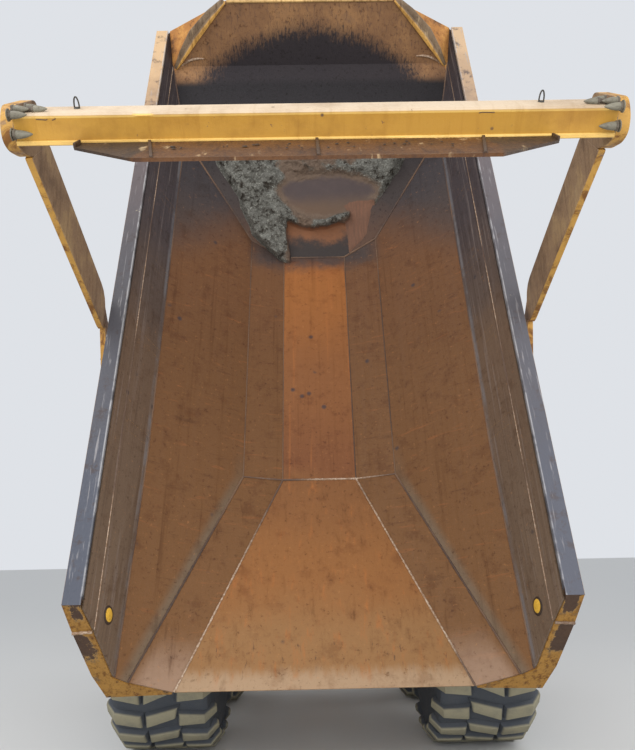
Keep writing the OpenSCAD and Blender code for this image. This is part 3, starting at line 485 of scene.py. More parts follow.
def build_residue(b):
    """Set crust of the last loads on the front slope.

    Height = edge fade times (mean + hills + lumps) where the crust lies, and a thin stain elsewhere."""
    rows, cols = 190, 210
    foot, top = -3.235, -4.62
    edge_y = [top, -4.32, -4.18, -3.91, -3.76, -3.53, -3.36, foot]
    left = [1.10, 1.07, 1.03, 0.82, 0.74, 0.63, 0.45, 0.31]
    right = [-1.08, -1.02, -0.93, -0.74, -0.63, -0.61, -0.42, -0.30]
    u, v = np.meshgrid(np.linspace(0, 1, rows), np.linspace(0, 1, cols), indexing="ij")
    y = top + 1.385 * v
    jag = 0.035 * hills(y * 2.2, y * 0 + u.round(), 3, 6)
    xl, xr = np.interp(y, edge_y, left), np.interp(y, edge_y, right)
    x = xr + (xl - xr) * u + jag * np.abs(u - 0.5) * 2
    z = b.floor_z + (b.slope_y - y) * b.slope_rise

    # Where it lies: a ring round the bare oval, without the block and the plate that fell out of it
    warp_x, warp_y = x + 0.05 * hills(x, y, 7, 6), y + 0.05 * hills(y, x, 8, 6)
    oval = np.sqrt(((warp_x + 0.13) / 0.40) ** 2 + ((warp_y + 3.96) / 0.18) ** 2)
    ring = oval + 0.16 * hills(x * 1.3, y * 1.3, 9, 5)
    block = smooth(warp_x, -0.345, -0.325) * smooth(warp_x, 0.27, 0.24) * smooth(warp_y, -3.65, -3.61)
    ragged = warp_x + 0.05 * hills(x * 4, y * 4, 10, 5)
    plate = smooth(ragged, -0.33, -0.345) * smooth(warp_y, -3.90, -3.82) * smooth(ragged, -0.66, -0.60)
    crusted = 1 - np.maximum(block, plate)
    thick_here = smooth(ring, 1.12, 1.5) * crusted
    layered = smooth(ring + 0.12 * hills(x * 5, y * 5, 12, 6), 0.80, 1.20) * crusted
    edge = smooth(u, 0.0, 0.05) * smooth(u, 1.0, 0.95) * smooth(v, 1.0, 0.975) * smooth(v, 0.0, 0.05)

    # How high it stands
    rough = hills(x * 1.9, y * 2.6, 5, 11)
    lumps = pebbles(x, y, 420, 0.075, 21) + 0.6 * pebbles(x, y, 1500, 0.034, 22)
    crust_height = 0.045 + 0.020 * rough + 0.032 * lumps - 0.024 * smooth(rough, 0.2, -0.4)
    shelf = 0.010 * np.round(3 * np.clip(ring - 0.8 + 0.30 * rough, 0, 1.2)) * layered
    thin = 0.004 + 0.0025 * rough + shelf
    thick = edge * (thin + thick_here * np.clip(crust_height, 0.01, 0.12)) - 0.003 * (1 - edge)
    normal = np.array([0, b.slope_rise, 1.0])
    normal /= np.linalg.norm(normal)
    base = np.stack([x, y, z], -1)
    sunk = 0.012

    # What it is: 0 in the block, a quarter on the plate, half for stain and more for crust
    paler = 0.5 * smooth(x, 0.1, 0.5) - 0.22 * np.exp(-((x - 0.1) / 0.35) ** 2)
    grime = np.clip(0.86 + 0.35 * rough + paler, 0.7, 1)
    mark = 0.5 + 0.2 * layered + (grime - 0.7) * thick_here
    mark = np.where(block > 0.5, 0.0, np.where(plate > 0.5, 0.25, mark))
    part = closed_sheet(base + normal * thick[..., None], base - normal * sunk, mark)
    make("slope_residue", placed([part], from_body), crust("set crust"), "dump_body", 80)


def end_plates(b, inner, outer):
    """Plates of the end frame: bilinear patches pushed in by shallow hills, marked from 0 paint to 1 bare."""
    back = np.array([0, -0.06, -0.015])
    face = -np.cross((1, 0, 0), np.array([0, -b.end_slope, 1.0]) / np.hypot(1, b.end_slope))
    v, u = np.meshgrid(np.linspace(0, 1, 34), np.linspace(0, 1, 22), indexing="ij")
    border = smooth(np.minimum(np.minimum(u, 1 - u), np.minimum(v, 1 - v)), 0, 0.12)
    low_worn = smooth(u, 0.5, 1.0) * smooth(v, 0.7, 0.0) * 0.6 + 0.25 * smooth(u, 0.2, 0.0)
    worn = (smooth(u, 0.95, 0.55) * smooth(v, 0.80, 0.35) * smooth(u, -0.1, 0.25),
            smooth(v, 0.85, 0.45) * smooth(u + 0.3 * v, 0.10, 0.5) * smooth(v, -0.05, 0.12),
            low_worn, low_worn)
    parts = []
    for side in (1, -1):
        for k in range(4):
            grid = patch((inner[k], inner[k + 1], outer[k + 1], outer[k]), v, u)
            x, z = grid[..., 0], grid[..., 2]
            dent = hills(x * 2.2 + k, z * 2.2 + side, 31 + k, 6)
            front = grid - face * (0.003 + 0.004 * np.abs(dent) * border)[..., None]
            blot = hills(x * 4 + 3 * k, z * 4 + side, 41 + k, 8)
            p, f, m = closed_sheet(front, grid + back, np.clip(0.95 * worn[k] + 0.32 * blot, 0, 1))
            parts.append((from_body(p * (side, 1, 1)), f, m))
    return parts


def build_end_frame(b):
    """Frame round the rear end: dented, worn plates, its beads, the rails' end caps and the yellow slots."""
    def at(x, z):
        return np.array(on_end(b, x, z))

    skin = 0.0165
    inner = [at(x + skin, z - skin) for x, z in (RAIL_FOOT, STRIP_TOP, WALL_END, WING_END, LIP)]
    outer = [at(x, z) for x, z in FRAME_EDGE]
    wedge = np.array([at(x, z) for x, z in ((1.5625, 1.3845), (1.6845, 1.4195), (1.5625, 1.4195))])
    closing = loft([wedge - (0, 0.002, 0), wedge - (0, 0.062, 0)], 0.85)
    parts = end_plates(b, inner, outer) + placed(both([closing]), from_body)
    obj = make("rear_end_frame", parts, worn_frame("worn end frame"), "dump_body", 40, 0.003)
    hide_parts("bed_end_frame")

    parts = []
    for side in (1, -1):
        line = resample([inner[1] * (side, 1, 1), outer[1] * (side, 1, 1)], 0.012)
        parts.append(tube(from_body(line), ripple(line, 0.010, 0.15), 8))
    make("end_frame_welds", parts, weld_metal("bright frame bead"), "dump_body", 60)

    width, length, lift = np.array([0.1225, 0, 0]), np.array([0, -0.085, 0]), np.array([0, 0.0, 0.0016])
    u = np.linspace(0, 1, 12)[:, None, None]
    v = np.linspace(0, 1, 6)[None, :, None]
    top = at(1.5625, 1.42) + width * u + length * v + (0, -0.0015, 0)
    caps = placed(both([closed_sheet(top + lift, top - lift * 0.5)]), from_body)
    make("rail_end_caps", caps, rail_metal("rail end"), "dump_body", 40)

    # The oval hole's rim and its yellow disc, square to the leaning strip
    lean = (STRIP_TOP[0] - WALL_END[0]) / (STRIP_TOP[1] - WALL_END[1])
    inward = np.array([-1.0, 0, lean]) / np.hypot(1, lean)
    slot = [(0, 0.0080), (0.036, 0.0078), (0.042, 0.0060), (0.052, 0.0070), (0.060, 0.006), (0.066, 0.0),
            (0, -0.002)]
    yellow, sides = [1.0, 1.0, 0.8, 0.1, 0.0, 0.1, 0.1], 40
    centre = np.array([1.4655, 0.577, 1.104]) + inward * 0.004
    slots = both([lathe(slot, centre, inward, sides, np.repeat(yellow, sides))])
    paint = two_tone("slot paint", (60, 48, 40), (222, 176, 66), dirt=0.3)
    make("strip_slots", placed(slots, from_body), paint, "dump_body", 50)


def build_headboard():
    """Folded flanges over the corner plates, the arched beads and the thick top edge of the headboard.

    A flange is a folded strip: its cross-section grows from nothing at the foot to full width at the top."""
    foot, top = np.array([1.50, -5.262, 1.18]), np.array([0.875, -5.452, 1.868])
    along = (top - foot) / np.linalg.norm(top - foot)
    face = np.array([0, 1.0, 0])
    across = np.cross(face, along)
    across /= np.linalg.norm(across)
    across = across if across[0] > 0 else -across
    v_at = np.array([0, 0.015, 0.05, 0.30, 0.42, 0.50, 0.58, 0.86, 1.0])
    up_at = np.array([0.002, 0.030, 0.036, 0.040, 0.032, 0.020, 0.018, 0.012, 0.0])
    t = np.linspace(0, 1, 70)[:, None]
    wide = np.interp(t, [0, 0.25, 0.5, 0.8, 1.0], [0.015, 0.085, 0.125, 0.10, 0.05])
    rise = smooth(t, -0.02, 0.12)
    middle = (foot + (top - foot) * t)[:, None] + across * (wide * v_at)[..., None]
    front = middle + face * (0.004 + rise * up_at)[..., None]
    mark = np.broadcast_to(np.interp(v_at, [0, 0.04, 0.3, 0.5, 1], [1, 0.9, 0.7, 0.15, 0.0]), front.shape[:2])
    flanges = placed(both([closed_sheet(front, middle - face * 0.012, mark)]), from_body)
    paint = two_tone("flange paint", (124, 104, 82), (204, 156, 82), streaks=(30, 5, 4))
    make("headboard_flanges", flanges, paint, "dump_body", 35)

    s = np.linspace(0, 1, 30)[:, None]
    low, high = np.array([1.425, -5.288, 1.245]), np.array([1.15, -5.302, 1.325])
    arc = low + (high - low) * s + np.array([0, 0, 0.035]) * np.sin(s * pi)
    taper = 0.012 * np.sin(np.clip(s[:, 0] * 0.9 + 0.1, 0, 1) * pi) ** 0.5 + 0.002
    beads = placed(both([tube(arc, taper, 8)]), from_body)
    make("headboard_beads", beads, weld_metal("dusty bead"), "dump_body", 60)

    section = [(-5.459, 1.862), (-5.438, 1.864), (-5.436, 1.884), (-5.474, 1.886), (-5.476, 1.864)]
    rings = swept(rounded(section, 0.005), np.linspace(-0.86, 0.86, 60))
    rings[..., 1:] += 0.002 * hills(rings[..., 0] * 2, rings[..., 2], 51, 5)[..., None]
    paint = two_tone("edge paint", (124, 104, 82), (198, 162, 106), streaks=(30, 5, 4))
    make("headboard_edge", [loft(from_body(rings), 1.0)], paint, "dump_body", 40)


def build_pins():
    """Retaining plates with two bolts on the ends of the tailgate's pivot pins."""
    plate = [(0, 0), (0.066, 0), (0.070, 0.003), (0.070, 0.010), (0.064, 0.014), (0, 0.014)]
    parts, bolt_circle = [lathe(plate, (1.786, 0, 0), (1, 0, 0), 32)], 0.045
    for turn in (0.6, 0.6 + pi):
        parts += bolt((1.80, bolt_circle * cos(turn), bolt_circle * sin(turn)), (1, 0, 0), 0.010)
    parts = both(placed(parts, lambda p: p + (0, *PIVOT[1:])))
    steel = two_tone("pin plate", (92, 88, 82), (120, 100, 70), False)
    make("gate_pin_plates", parts, steel, "dump_body", 40)


def body_ribs(b):
    """Gussets under the wings and walls, and three cross ribs on the front slope, body frame."""
    corners = [(1.19, 0.765), (1.383, 0.890), (1.515, 1.236), (1.64, 1.268), (1.60, 1.13), (1.45, 0.85),
               (1.27, 0.752)]
    x, z = rounded(corners, 0.03).T
    across = ((-0.045, 0.985), (-0.033, 1), (0.033, 1), (0.045, 0.985))
    gussets = []
    for y in (-4.25, -3.4, -2.55, -1.7, -0.85):
        rings = [np.column_stack([x * narrow, np.full_like(x, y + w), z]) for w, narrow in across]
        gussets.append(loft(rings))
    run, normal = np.array([-1, b.slope_rise]), np.array([-b.slope_rise, -1])
    run, normal = run / np.linalg.norm(run), normal / np.linalg.norm(normal)
    foot, crown, height, clear = 0.075 * run, 0.045 * run, 0.055 * normal, 0.017
    cross_ribs = []
    for z, half in ((0.60, 0.89), (0.86, 1.27), (1.10, 1.42)):
        at = np.array([b.slope_y - (z - b.floor_z) / b.slope_rise - clear, z - clear])
        outline = [at - foot, at - crown + height, at + crown + height, at + foot]
        cross_ribs.append(prism(outline, -half, half))
    return both(gussets) + cross_ribs


def build_shell(b):
    """Painted outer skins of the load space's plates with their stiffening ribs.

    A skin is a bilinear patch over a plate's corners, moved out by its thickness and waved by hills."""
    c = body_points(b)
    gauge = 0.016
    aside, slanted, forward, down = np.array([(1, 0, -1), (0, -1, -1), (0, -1, 0), (0, 0, -1)]) * gauge
    v, u = np.meshgrid(np.linspace(0, 1, 16), np.linspace(0, 1, 44))

    def skin(corners, out, seed):
        grid = patch(corners, v, u)
        wave = 1.17 + 0.05 * hills(grid[..., 0] + grid[..., 2], grid[..., 1], seed, 6)
        return closed_sheet(grid + out * 1.01, grid + out * wave[..., None])

    def band(low, high):
        """Corners of a plate that crosses the middle."""
        return [c[low] * (-1, 1, 1), c[high] * (-1, 1, 1), c[high], c[low]]

    plates = (("floor_fold", "wing_fold", "wing_slope", "floor_slope"),
              ("floor_fold", "lip", "wing_end", "wing_fold"),
              ("wing_fold", "wall_fold", "wall_slope", "wing_slope"),
              ("wing_fold", "wing_end", "wall_end", "wall_fold"),
              ("wall_fold", "strip_fold", "strip_slope", "wall_slope"),
              ("wall_fold", "wall_end", "strip_end", "strip_fold"))
    parts = both([skin([c[key] for key in keys], aside, 80 + i) for i, keys in enumerate(plates)])
    levels = ("floor_slope", "wing_slope", "wall_slope", "strip_slope")
    parts += [skin(band(levels[i], levels[i + 1]), slanted, 90 + i) for i in range(3)]
    parts.append(skin(band("strip_slope", "head_top"), forward, 94))
    foot, rail = c["strip_slope"], c["rail_front"]
    parts += both([skin([foot, c["head_top"], rail, foot * 0.7 + rail * 0.3], forward, 95)])
    parts.append(skin(band("floor_fold", "floor_slope"), down, 96))
    parts.append(skin(band("floor_fold", "lip"), down, 97))
    outside = yellow_paint("yellow paint outside the body", on_body=True, dirt=0.7)
    make("body_skins", placed(parts, from_body), outside, "dump_body", 35)
    make("body_ribs", placed(body_ribs(b), from_body), outside, "dump_body", 35, 0.004)


# Tailgate

def build_beam(g):
    """Tailgate beam: a section with a lipped web, carried along X, with a wavy lip and dented faces."""
    s, count = g.beam_side / 2, 281
    web = s - 0.012
    section = np.array([(0.0, -s), (s - 0.008, -s), (s, 0.006 - s), (s, 0.024 - s), (s - 0.004, 0.028 - s),
                        (web, 0.032 - s), (web, -0.01), (web, s - 0.034), (s - 0.009, s - 0.016),
                        (s - 0.018, s - 0.003), (s - 0.04, s), (0.0, s), (0.02 - s, s), (-s, s - 0.02),
                        (-s, 0.02 - s), (0.02 - s, -s)])
    # Marks carry painted light: 0 for the ochre web, about 1 for a painted highlight on the lower flange, 2
    # for a paler painted highlight on the top
    tint = np.array([0.6, 1, 1, 1, 0.8, 0, 0, 0, 1.6, 2, 2, 2, 2, 0, 0, 0.2])
    x = np.linspace(-g.beam_half, g.beam_half, count)
    rings = swept(section, x)
    wave = 0.004 * hills(x * 0.8, x * 0, 61, 5) - 0.007 * np.exp(-((x - 1.0) / 0.04) ** 2) \
        - 0.006 * np.exp(-((x + 0.72) / 0.07) ** 2)
    lip, top_edge = slice(0, 4), slice(8, 10)
    rings[:, lip, 2] += np.clip(wave, -0.008, 0.004)[:, None]
    rings[..., 1] += 0.0015 * hills(rings[..., 0] * 0.8, rings[..., 2] * 2, 62, 5)
    scar = np.exp(-((x - 0.99) / 0.055) ** 6)
    rings[:, top_edge, 2] -= 0.006 * scar[:, None]
    marks = np.broadcast_to(tint, (count, len(section))).copy()
    marks[:, 8] -= 1.2 * scar
    paint = gate_paint("tailgate beam paint")
    obj = make("gate_beam_section", [loft(from_beam(rings), marks)], paint, "tailgate", 35)
    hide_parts("gate_beam")

    lines = (((1.60, 0.058), (1.545, 0.053), (1.535, 0.056)), ((1.51, 0.052), (1.492, 0.056), (1.490, 0.064)),
             ((-1.02, 0.060), (-0.95, 0.062), (-0.93, 0.058)))
    scars = []
    for line in lines:
        path = resample([(a, s - 0.011, z) for a, z in line], 0.01)
        scars.append(tube(from_beam(path), 0.003, 6))
    make("beam_scars", scars, weld_metal("dark scar", False), "tailgate", 60)


def build_panel(g):
    """Chute panel under the beam: a dished plate, seams between its three bays, end flanges and scars."""
    s = g.beam_side / 2
    root = np.array([0, s + 0.0003 + 0.02 * sin(PANEL_LEAN), -s])

    def place(p):
        return from_beam(turned(p, PANEL_LEAN, root))

    depth, half_top, half_foot = 0.56, 1.37, 0.95
    v, u = np.meshgrid(np.linspace(0, 1, 26), np.linspace(-1, 1, 140), indexing="ij")
    y = v * depth
    x = u * np.interp(y, [0, 0.15, depth], [half_top, half_top, half_foot])
    dish = 0.004 * hills(x * 0.7, y * 1.5, 71, 5)
    lip = 0.006 * smooth(v, 0.93, 0.97)
    front = np.stack([x, y, 0.0175 + dish * smooth(v, 0, 0.1) + lip], -1)
    back = np.stack([x, y, np.full_like(x, 0.002)], -1)
    stain = smooth(np.abs(x), 0.9, 1.0) * 0.8 + 0.35 * hills(x, y * 2, 72, 7)
    plate = closed_sheet(front, back, np.clip(stain, 0, 1))
    paint = two_tone("panel paint", (86, 50, 10), (54, 35, 16), False, streaks=(14, 4, 4))
    obj = make("gate_panel_plate", placed([plate], place), paint, "tailgate", 40)
    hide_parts("gate_panel")

    w = 0.009
    parts = [column([(a - w, 0.004), (a + w, 0.004), (c + w, 0.553), (c - w, 0.553)], 0.014, 0.030, place)
             for a, c in ((-0.967, -0.858), (0.0, 0.0), (0.967, 0.858))]
    parts += both([box((1.354, 0.03, 0.01), (1.368, 0.15, 0.040), place)])
    paint = two_tone("seam paint", (66, 46, 30), (84, 62, 44), False)
    make("panel_seams", parts, paint, "tailgate", 35, 0.003)

    rng = np.random.default_rng(17)
    spots = np.column_stack([rng.uniform(*span, 22) for span in ((-0.75, 0.75), (0.12, 0.34), (0.5, 1.1))])
    large = ((0.80, 0.22, 1.4), (0.785, 0.28, 1.1), (0.40, 0.24, 1.5), (0.335, 0.18, 1.2))
    parts = []
    for x, y, r in (*spots, *large):
        scar = [(0, 0.003), (0.008 * r, 0.003), (0.012 * r, 0), (0, -0.002)]
        parts.append(lathe(scar, (x, y, 0.0225), (0, 0, 1), 9))
    steel = two_tone("panel scar", (44, 30, 22), (70, 46, 32), False)
    make("panel_scars", placed(parts, place), steel, "tailgate", 60)


def beam_end_caps(g):
    """Domed nut caps with their nuts, a pin and two washers on the arms' heads, at both ends of the beam."""
    dome = [(0, 0.088), (0.003, 0.087), (0.008, 0.078), (0.0135, 0.063), (0.019, 0.044), (0.0225, 0.022),
            (0.023, 0.004), (0.023, -0.004), (0, -0.008)]
    places = [(1.716, 0.130, 0.094, 1.0), (1.712, 0.130, -0.014, 1.08), (1.715, 0.070, 0.112, 0.95),
              (1.610, 0.045, 0.106, 0.85), (1.66, 0.01, 0.110, 0.8)]
    inward = (-1, 0, 0)
    parts = []
    for x, y, z, grow in places:
        p, f, m = lathe(np.multiply(dome, grow), (x, y, z), inward, 20)
        p[..., 2] += 0.05 * (x - p[..., 0]) ** 2
        parts.append((p, f, m))
        parts.append(lathe(np.multiply(disc(0.029, 0.014), grow), (x + 0.014, y, z), inward, 6, 0.6))
    parts.append(lathe(disc(0.014, 0.10), (1.70, 0.045, 0.106), inward, 12, 1.0))
    for _, y, z, _ in places[:2]:
        parts.append(lathe(disc(0.036, 0.006), (g.arm_inner + 0.001, y, z), inward, 20, 0.4))
    return placed(both(parts), from_beam)


def build_arms(g):
    """Side arms with rounded outlines, their deep heads, nut caps, hooks and wire rings."""
    reach = np.linalg.norm(BEAM - PIVOT)
    inner, outer, head = g.arm_inner, g.arm_inner + g.arm_thick, g.arm_inner + 0.08
    eye_radius = 0.13
    turn = np.linspace(radians(118), radians(298), 15)
    eye = np.column_stack([eye_radius * np.cos(turn), eye_radius * np.sin(turn)])
    blade = rounded([(0.25, 0.12), (reach - 0.24, 0.02), (reach - 0.37, 0.34), (0.43, 0.40)],
                    [0.10, 0.02, 0.04, 0.12])
    blade = np.concatenate([eye, blade])
    deep = [(reach + y, z) for y, z in ((-0.245, 0.03), (-0.11, -0.085), (-0.02, -0.11), (0.06, -0.06),
                                        (0.11, 0.05), (-0.07, 0.365), (-0.375, 0.34))]
    deep = rounded(deep, 0.045)
    parts = both([prism(blade, inner, outer, from_arm), prism(deep, inner, head, from_arm, 0.4)])
    obj = make("gate_arm_blades", parts, arm_paint("arm paint"), "tailgate", 35, 0.005)
    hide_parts("gate_arms")
    paint = two_tone("olive cap", (120, 115, 100), (84, 72, 60), False)
    make("beam_end_caps", beam_end_caps(g), paint, "tailgate", 40, 0.002)

    top, ring_y, wire = g.beam_side / 2, -0.02, 0.014
    turn = np.linspace(0, 2 * pi, 40, endpoint=False)[:, None]
    ring = np.concatenate([wire * np.cos(turn), ring_y + 0 * turn, top + 0.014 + 0.050 * np.sin(turn)], -1)
    foot = [(0, 0), (0.020, 0), (0.016, 0.007), (0, 0.008)]
    rings = [tube(from_beam(ring + (x, 0, 0)), 0.0045, 8, True) for x in (1.385, -1.31)]
    rings += placed([lathe(foot, (x, ring_y, top - 0.001), (0, 0, 1), 14) for x in (1.385, -1.31)], from_beam)
    steel = two_tone("wire ring", (58, 54, 46), (84, 70, 50), False)
    make("beam_rings", rings, steel, "tailgate", 60)

    hooks, curl = [], 0.018
    bend = np.linspace(0, 1.25 * pi, 14)[:, None]
    for y, z in ((-0.03, reach - 0.02), (0.05, reach - 0.22)):
        out, along = head - 0.004 + curl * np.sin(bend), z + curl * (1 - np.cos(bend)) - 0.02
        hooks.append(tube(np.concatenate([out, along, y + 0 * bend], -1), 0.007, 8))
    steel = two_tone("dark hook", (62, 52, 42), (84, 66, 44), False)
    make("arm_hooks", placed(both(hooks), from_arm), steel, "tailgate", 60)


# Cab and tractor

WINDOW_FOOT, WINDOW_TOP = 2.62, 3.45
SCREEN_LEAN = 0.184


def loop(y_z, x, radius):
    """Round seal in a plane across X, along the rounded outline of a window."""
    o = rounded(y_z, 0.05, 5)
    o = resample([*o, o[0]], 0.05)[:-1]
    return tube(np.column_stack([np.full(len(o), x), o]), radius, 8, True)


def wiper(x):
    """Wiper on the leaning screen: arm, blade and pivot."""
    arm_z, blade_z, foot_z = np.linspace(2.56, 3.12, 12), np.linspace(2.72, 3.3, 8), 2.56
    arm = [x + 0.16 * (arm_z - foot_z), -4.828 + np.maximum(arm_z - 2.60, 0) * SCREEN_LEAN, arm_z]
    blade = [x + 0.09 + np.linspace(-0.01, 0.03, 8), -4.826 + (blade_z - 2.6) * SCREEN_LEAN, blade_z]
    pivot = [(0, 0), (0.020, 0), (0.017, 0.016), (0, 0.018)]
    return [tube(np.column_stack(arm), 0.007, 6), tube(np.column_stack(blade), 0.009, 4),
            lathe(pivot, (x, -4.816, foot_z), (0, -1, 0), 16)]


def build_seals(side):
    """Window seals all round the cab, wipers, and the door's seals."""
    rubber = plain("window rubber", tone(30, 30, 31), 0.7)
    parts = both([loop(rect(-3.6915, -3.4165, WINDOW_FOOT, WINDOW_TOP), side, 0.011)])
    parts.append(loop(rect(-4.5315, -3.7715, 2.50, WINDOW_TOP), -side, 0.012))
    rear = rounded(rect(-0.675, 0.675, WINDOW_FOOT, WINDOW_TOP), 0.06, 5)
    parts.append(tube(np.insert(rear, 1, -3.327, axis=1), 0.011, 8, True))
    screen = rounded(rect(-0.705, 0.705, WINDOW_FOOT, WINDOW_TOP), 0.06, 5)
    screen_y = -4.806 + (screen[:, 1] - WINDOW_FOOT) * SCREEN_LEAN
    parts.append(tube(np.insert(screen, 1, screen_y, axis=1), 0.012, 8, True))
    parts += wiper(-0.36) + wiper(0.30)
    make("cab_seals", parts, rubber, "tractor", 50)
    door = loop(rect(-4.4415, -3.8615, 2.56, 3.352), side, 0.011)
    low_pane = loop(rect(-4.4415, -3.8615, 2.145, 2.50), side, 0.009)
    make("door_seal", [door, low_pane], rubber, "cab_door", 50)


def build_lamps(steel):
    """Work lamps on the roof with their lenses, rims round the head lamps, and the beacon."""
    housing = [(0, 0.05), (0.035, 0.045), (0.055, 0.012), (0.058, -0.022), (0.052, -0.022), (0.050, -0.008),
               (0, -0.006)]
    lens = [(0, -0.030), (0.030, -0.027), (0.050, -0.016), (0.050, -0.010), (0, -0.010)]
    lamps, lenses = [], []
    for x in (-0.70, -0.42, 0.42, 0.70):
        centre = (x, -4.61, 3.755)
        lamps.append(lathe(housing, centre, (0, 1, 0), 24))
        lenses.append(lathe(lens, centre, (0, 1, 0), 24))
        lamps.append(tube([(x, -4.60, z) for z in (3.676, 3.69, 3.704)], 0.012, 8))
    for x in (1.115, 1.31):
        o = rounded(rect(x - 0.093, x + 0.093, 0.985, 1.175), 0.02)
        lamps += both([tube(np.insert(o, 1, -6.424, axis=1), 0.007, 8, True)])
    beacon = (-0.52, -3.62, 3.679)
    foot = [(0, 0), (0.085, 0), (0.085, 0.018), (0.070, 0.022), (0, 0.022)]
    lamps.append(lathe(foot, beacon, (0, 0, 1), 28))
    make("lamp_housings", lamps, steel, "tractor", 45)
    make("lamp_lenses", lenses, plain("lamp lens", tone(214, 216, 212), 0.15), "tractor", 45)
    dome = [(0, 0.018), (0.062, 0.018), (0.066, 0.03), (0.060, 0.05), (0.061, 0.07), (0.057, 0.09),
            (0.058, 0.11), (0.046, 0.14), (0.02, 0.155), (0, 0.157)]
    amber = plain("amber dome", tone(232, 122, 22), 0.2)
    make("beacon_dome", [lathe(dome, beacon, (0, 0, 1), 28)], amber, "tractor", 45)


def build_cab_fittings(t):
    """Seals, door handle, mirror glasses, lamps, treads and the tanks' caps and straps."""
    side = t.cab_half
    build_seals(side)
    steel = plain("dark fitting", tone(34, 34, 35), 0.45, 0.3)
    bow = ((-0.004, -3.86), (0.028, -3.86), (0.036, -3.87), (0.036, -3.99), (0.028, -4.0), (-0.004, -4.0))
    handle = resample([(side + out, y, 2.53) for out, y in bow], 0.02)
    make("door_handle", [tube(handle, 0.009, 10)], steel, "cab_door", 50)

    glass, middle_z = [], 2.94
    for x in (1.25, -1.25):
        o = rounded(rect(x - 0.098, x + 0.098, 2.672, 3.208), 0.03)
        glass.append(loft([np.insert(o * grow + (x * (1 - grow), middle_z * (1 - grow)), 1, y, axis=1)
                           for y, grow in ((-4.617, 1.0), (-4.611, 0.995), (-4.609, 0.97))]))
    mirror = plain("mirror glass", tone(170, 180, 188), 0.12, 1.0)
    make("mirror_glasses", glass, mirror, "tractor", 40)
    build_lamps(steel)

    bars, half = [], 0.006
    for z in (0.472, 0.772, 1.072):
        for y in np.linspace(-4.75, -4.47, 7):
            bars.append(((1.05, y - half, z - 0.003), (1.39, y + half, z + 0.006)))
    for y in np.linspace(-6.20, -4.86, 28):
        bars.append(((0.84, y - half, 1.388), (1.41, y + half, 1.396)))
    treads = [part for low, high in bars for part in both([box(low, high)])]
    make("step_treads", treads, steel, "tractor", 40, 0.002)

    cap = [(0, 0), (0.075, 0), (0.075, 0.012), (0.060, 0.016), (0.060, 0.035), (0.050, 0.046), (0.015, 0.050),
           (0, 0.050)]
    parts = both([lathe(cap, (1.318, -5.15, 1.18), (1, 0, 0), 28)])
    for y in (-5.95, -5.45):
        parts += both([tube(resample([(1.336, y, 0.74), (1.336, y, 1.34)], 0.05), 0.012, 8)])
    make("tank_fittings", parts, steel, "tractor", 45)


# Finishes

def tone(r, g, b):
    """A screen colour from 0 to 255 as linear light."""
    v = np.array([r, g, b]) / 255
    v = np.where(v <= 0.04045, v / 12.92, ((v + 0.055) / 1.055) ** 2.4)
    return (*v.tolist(), 1.0)


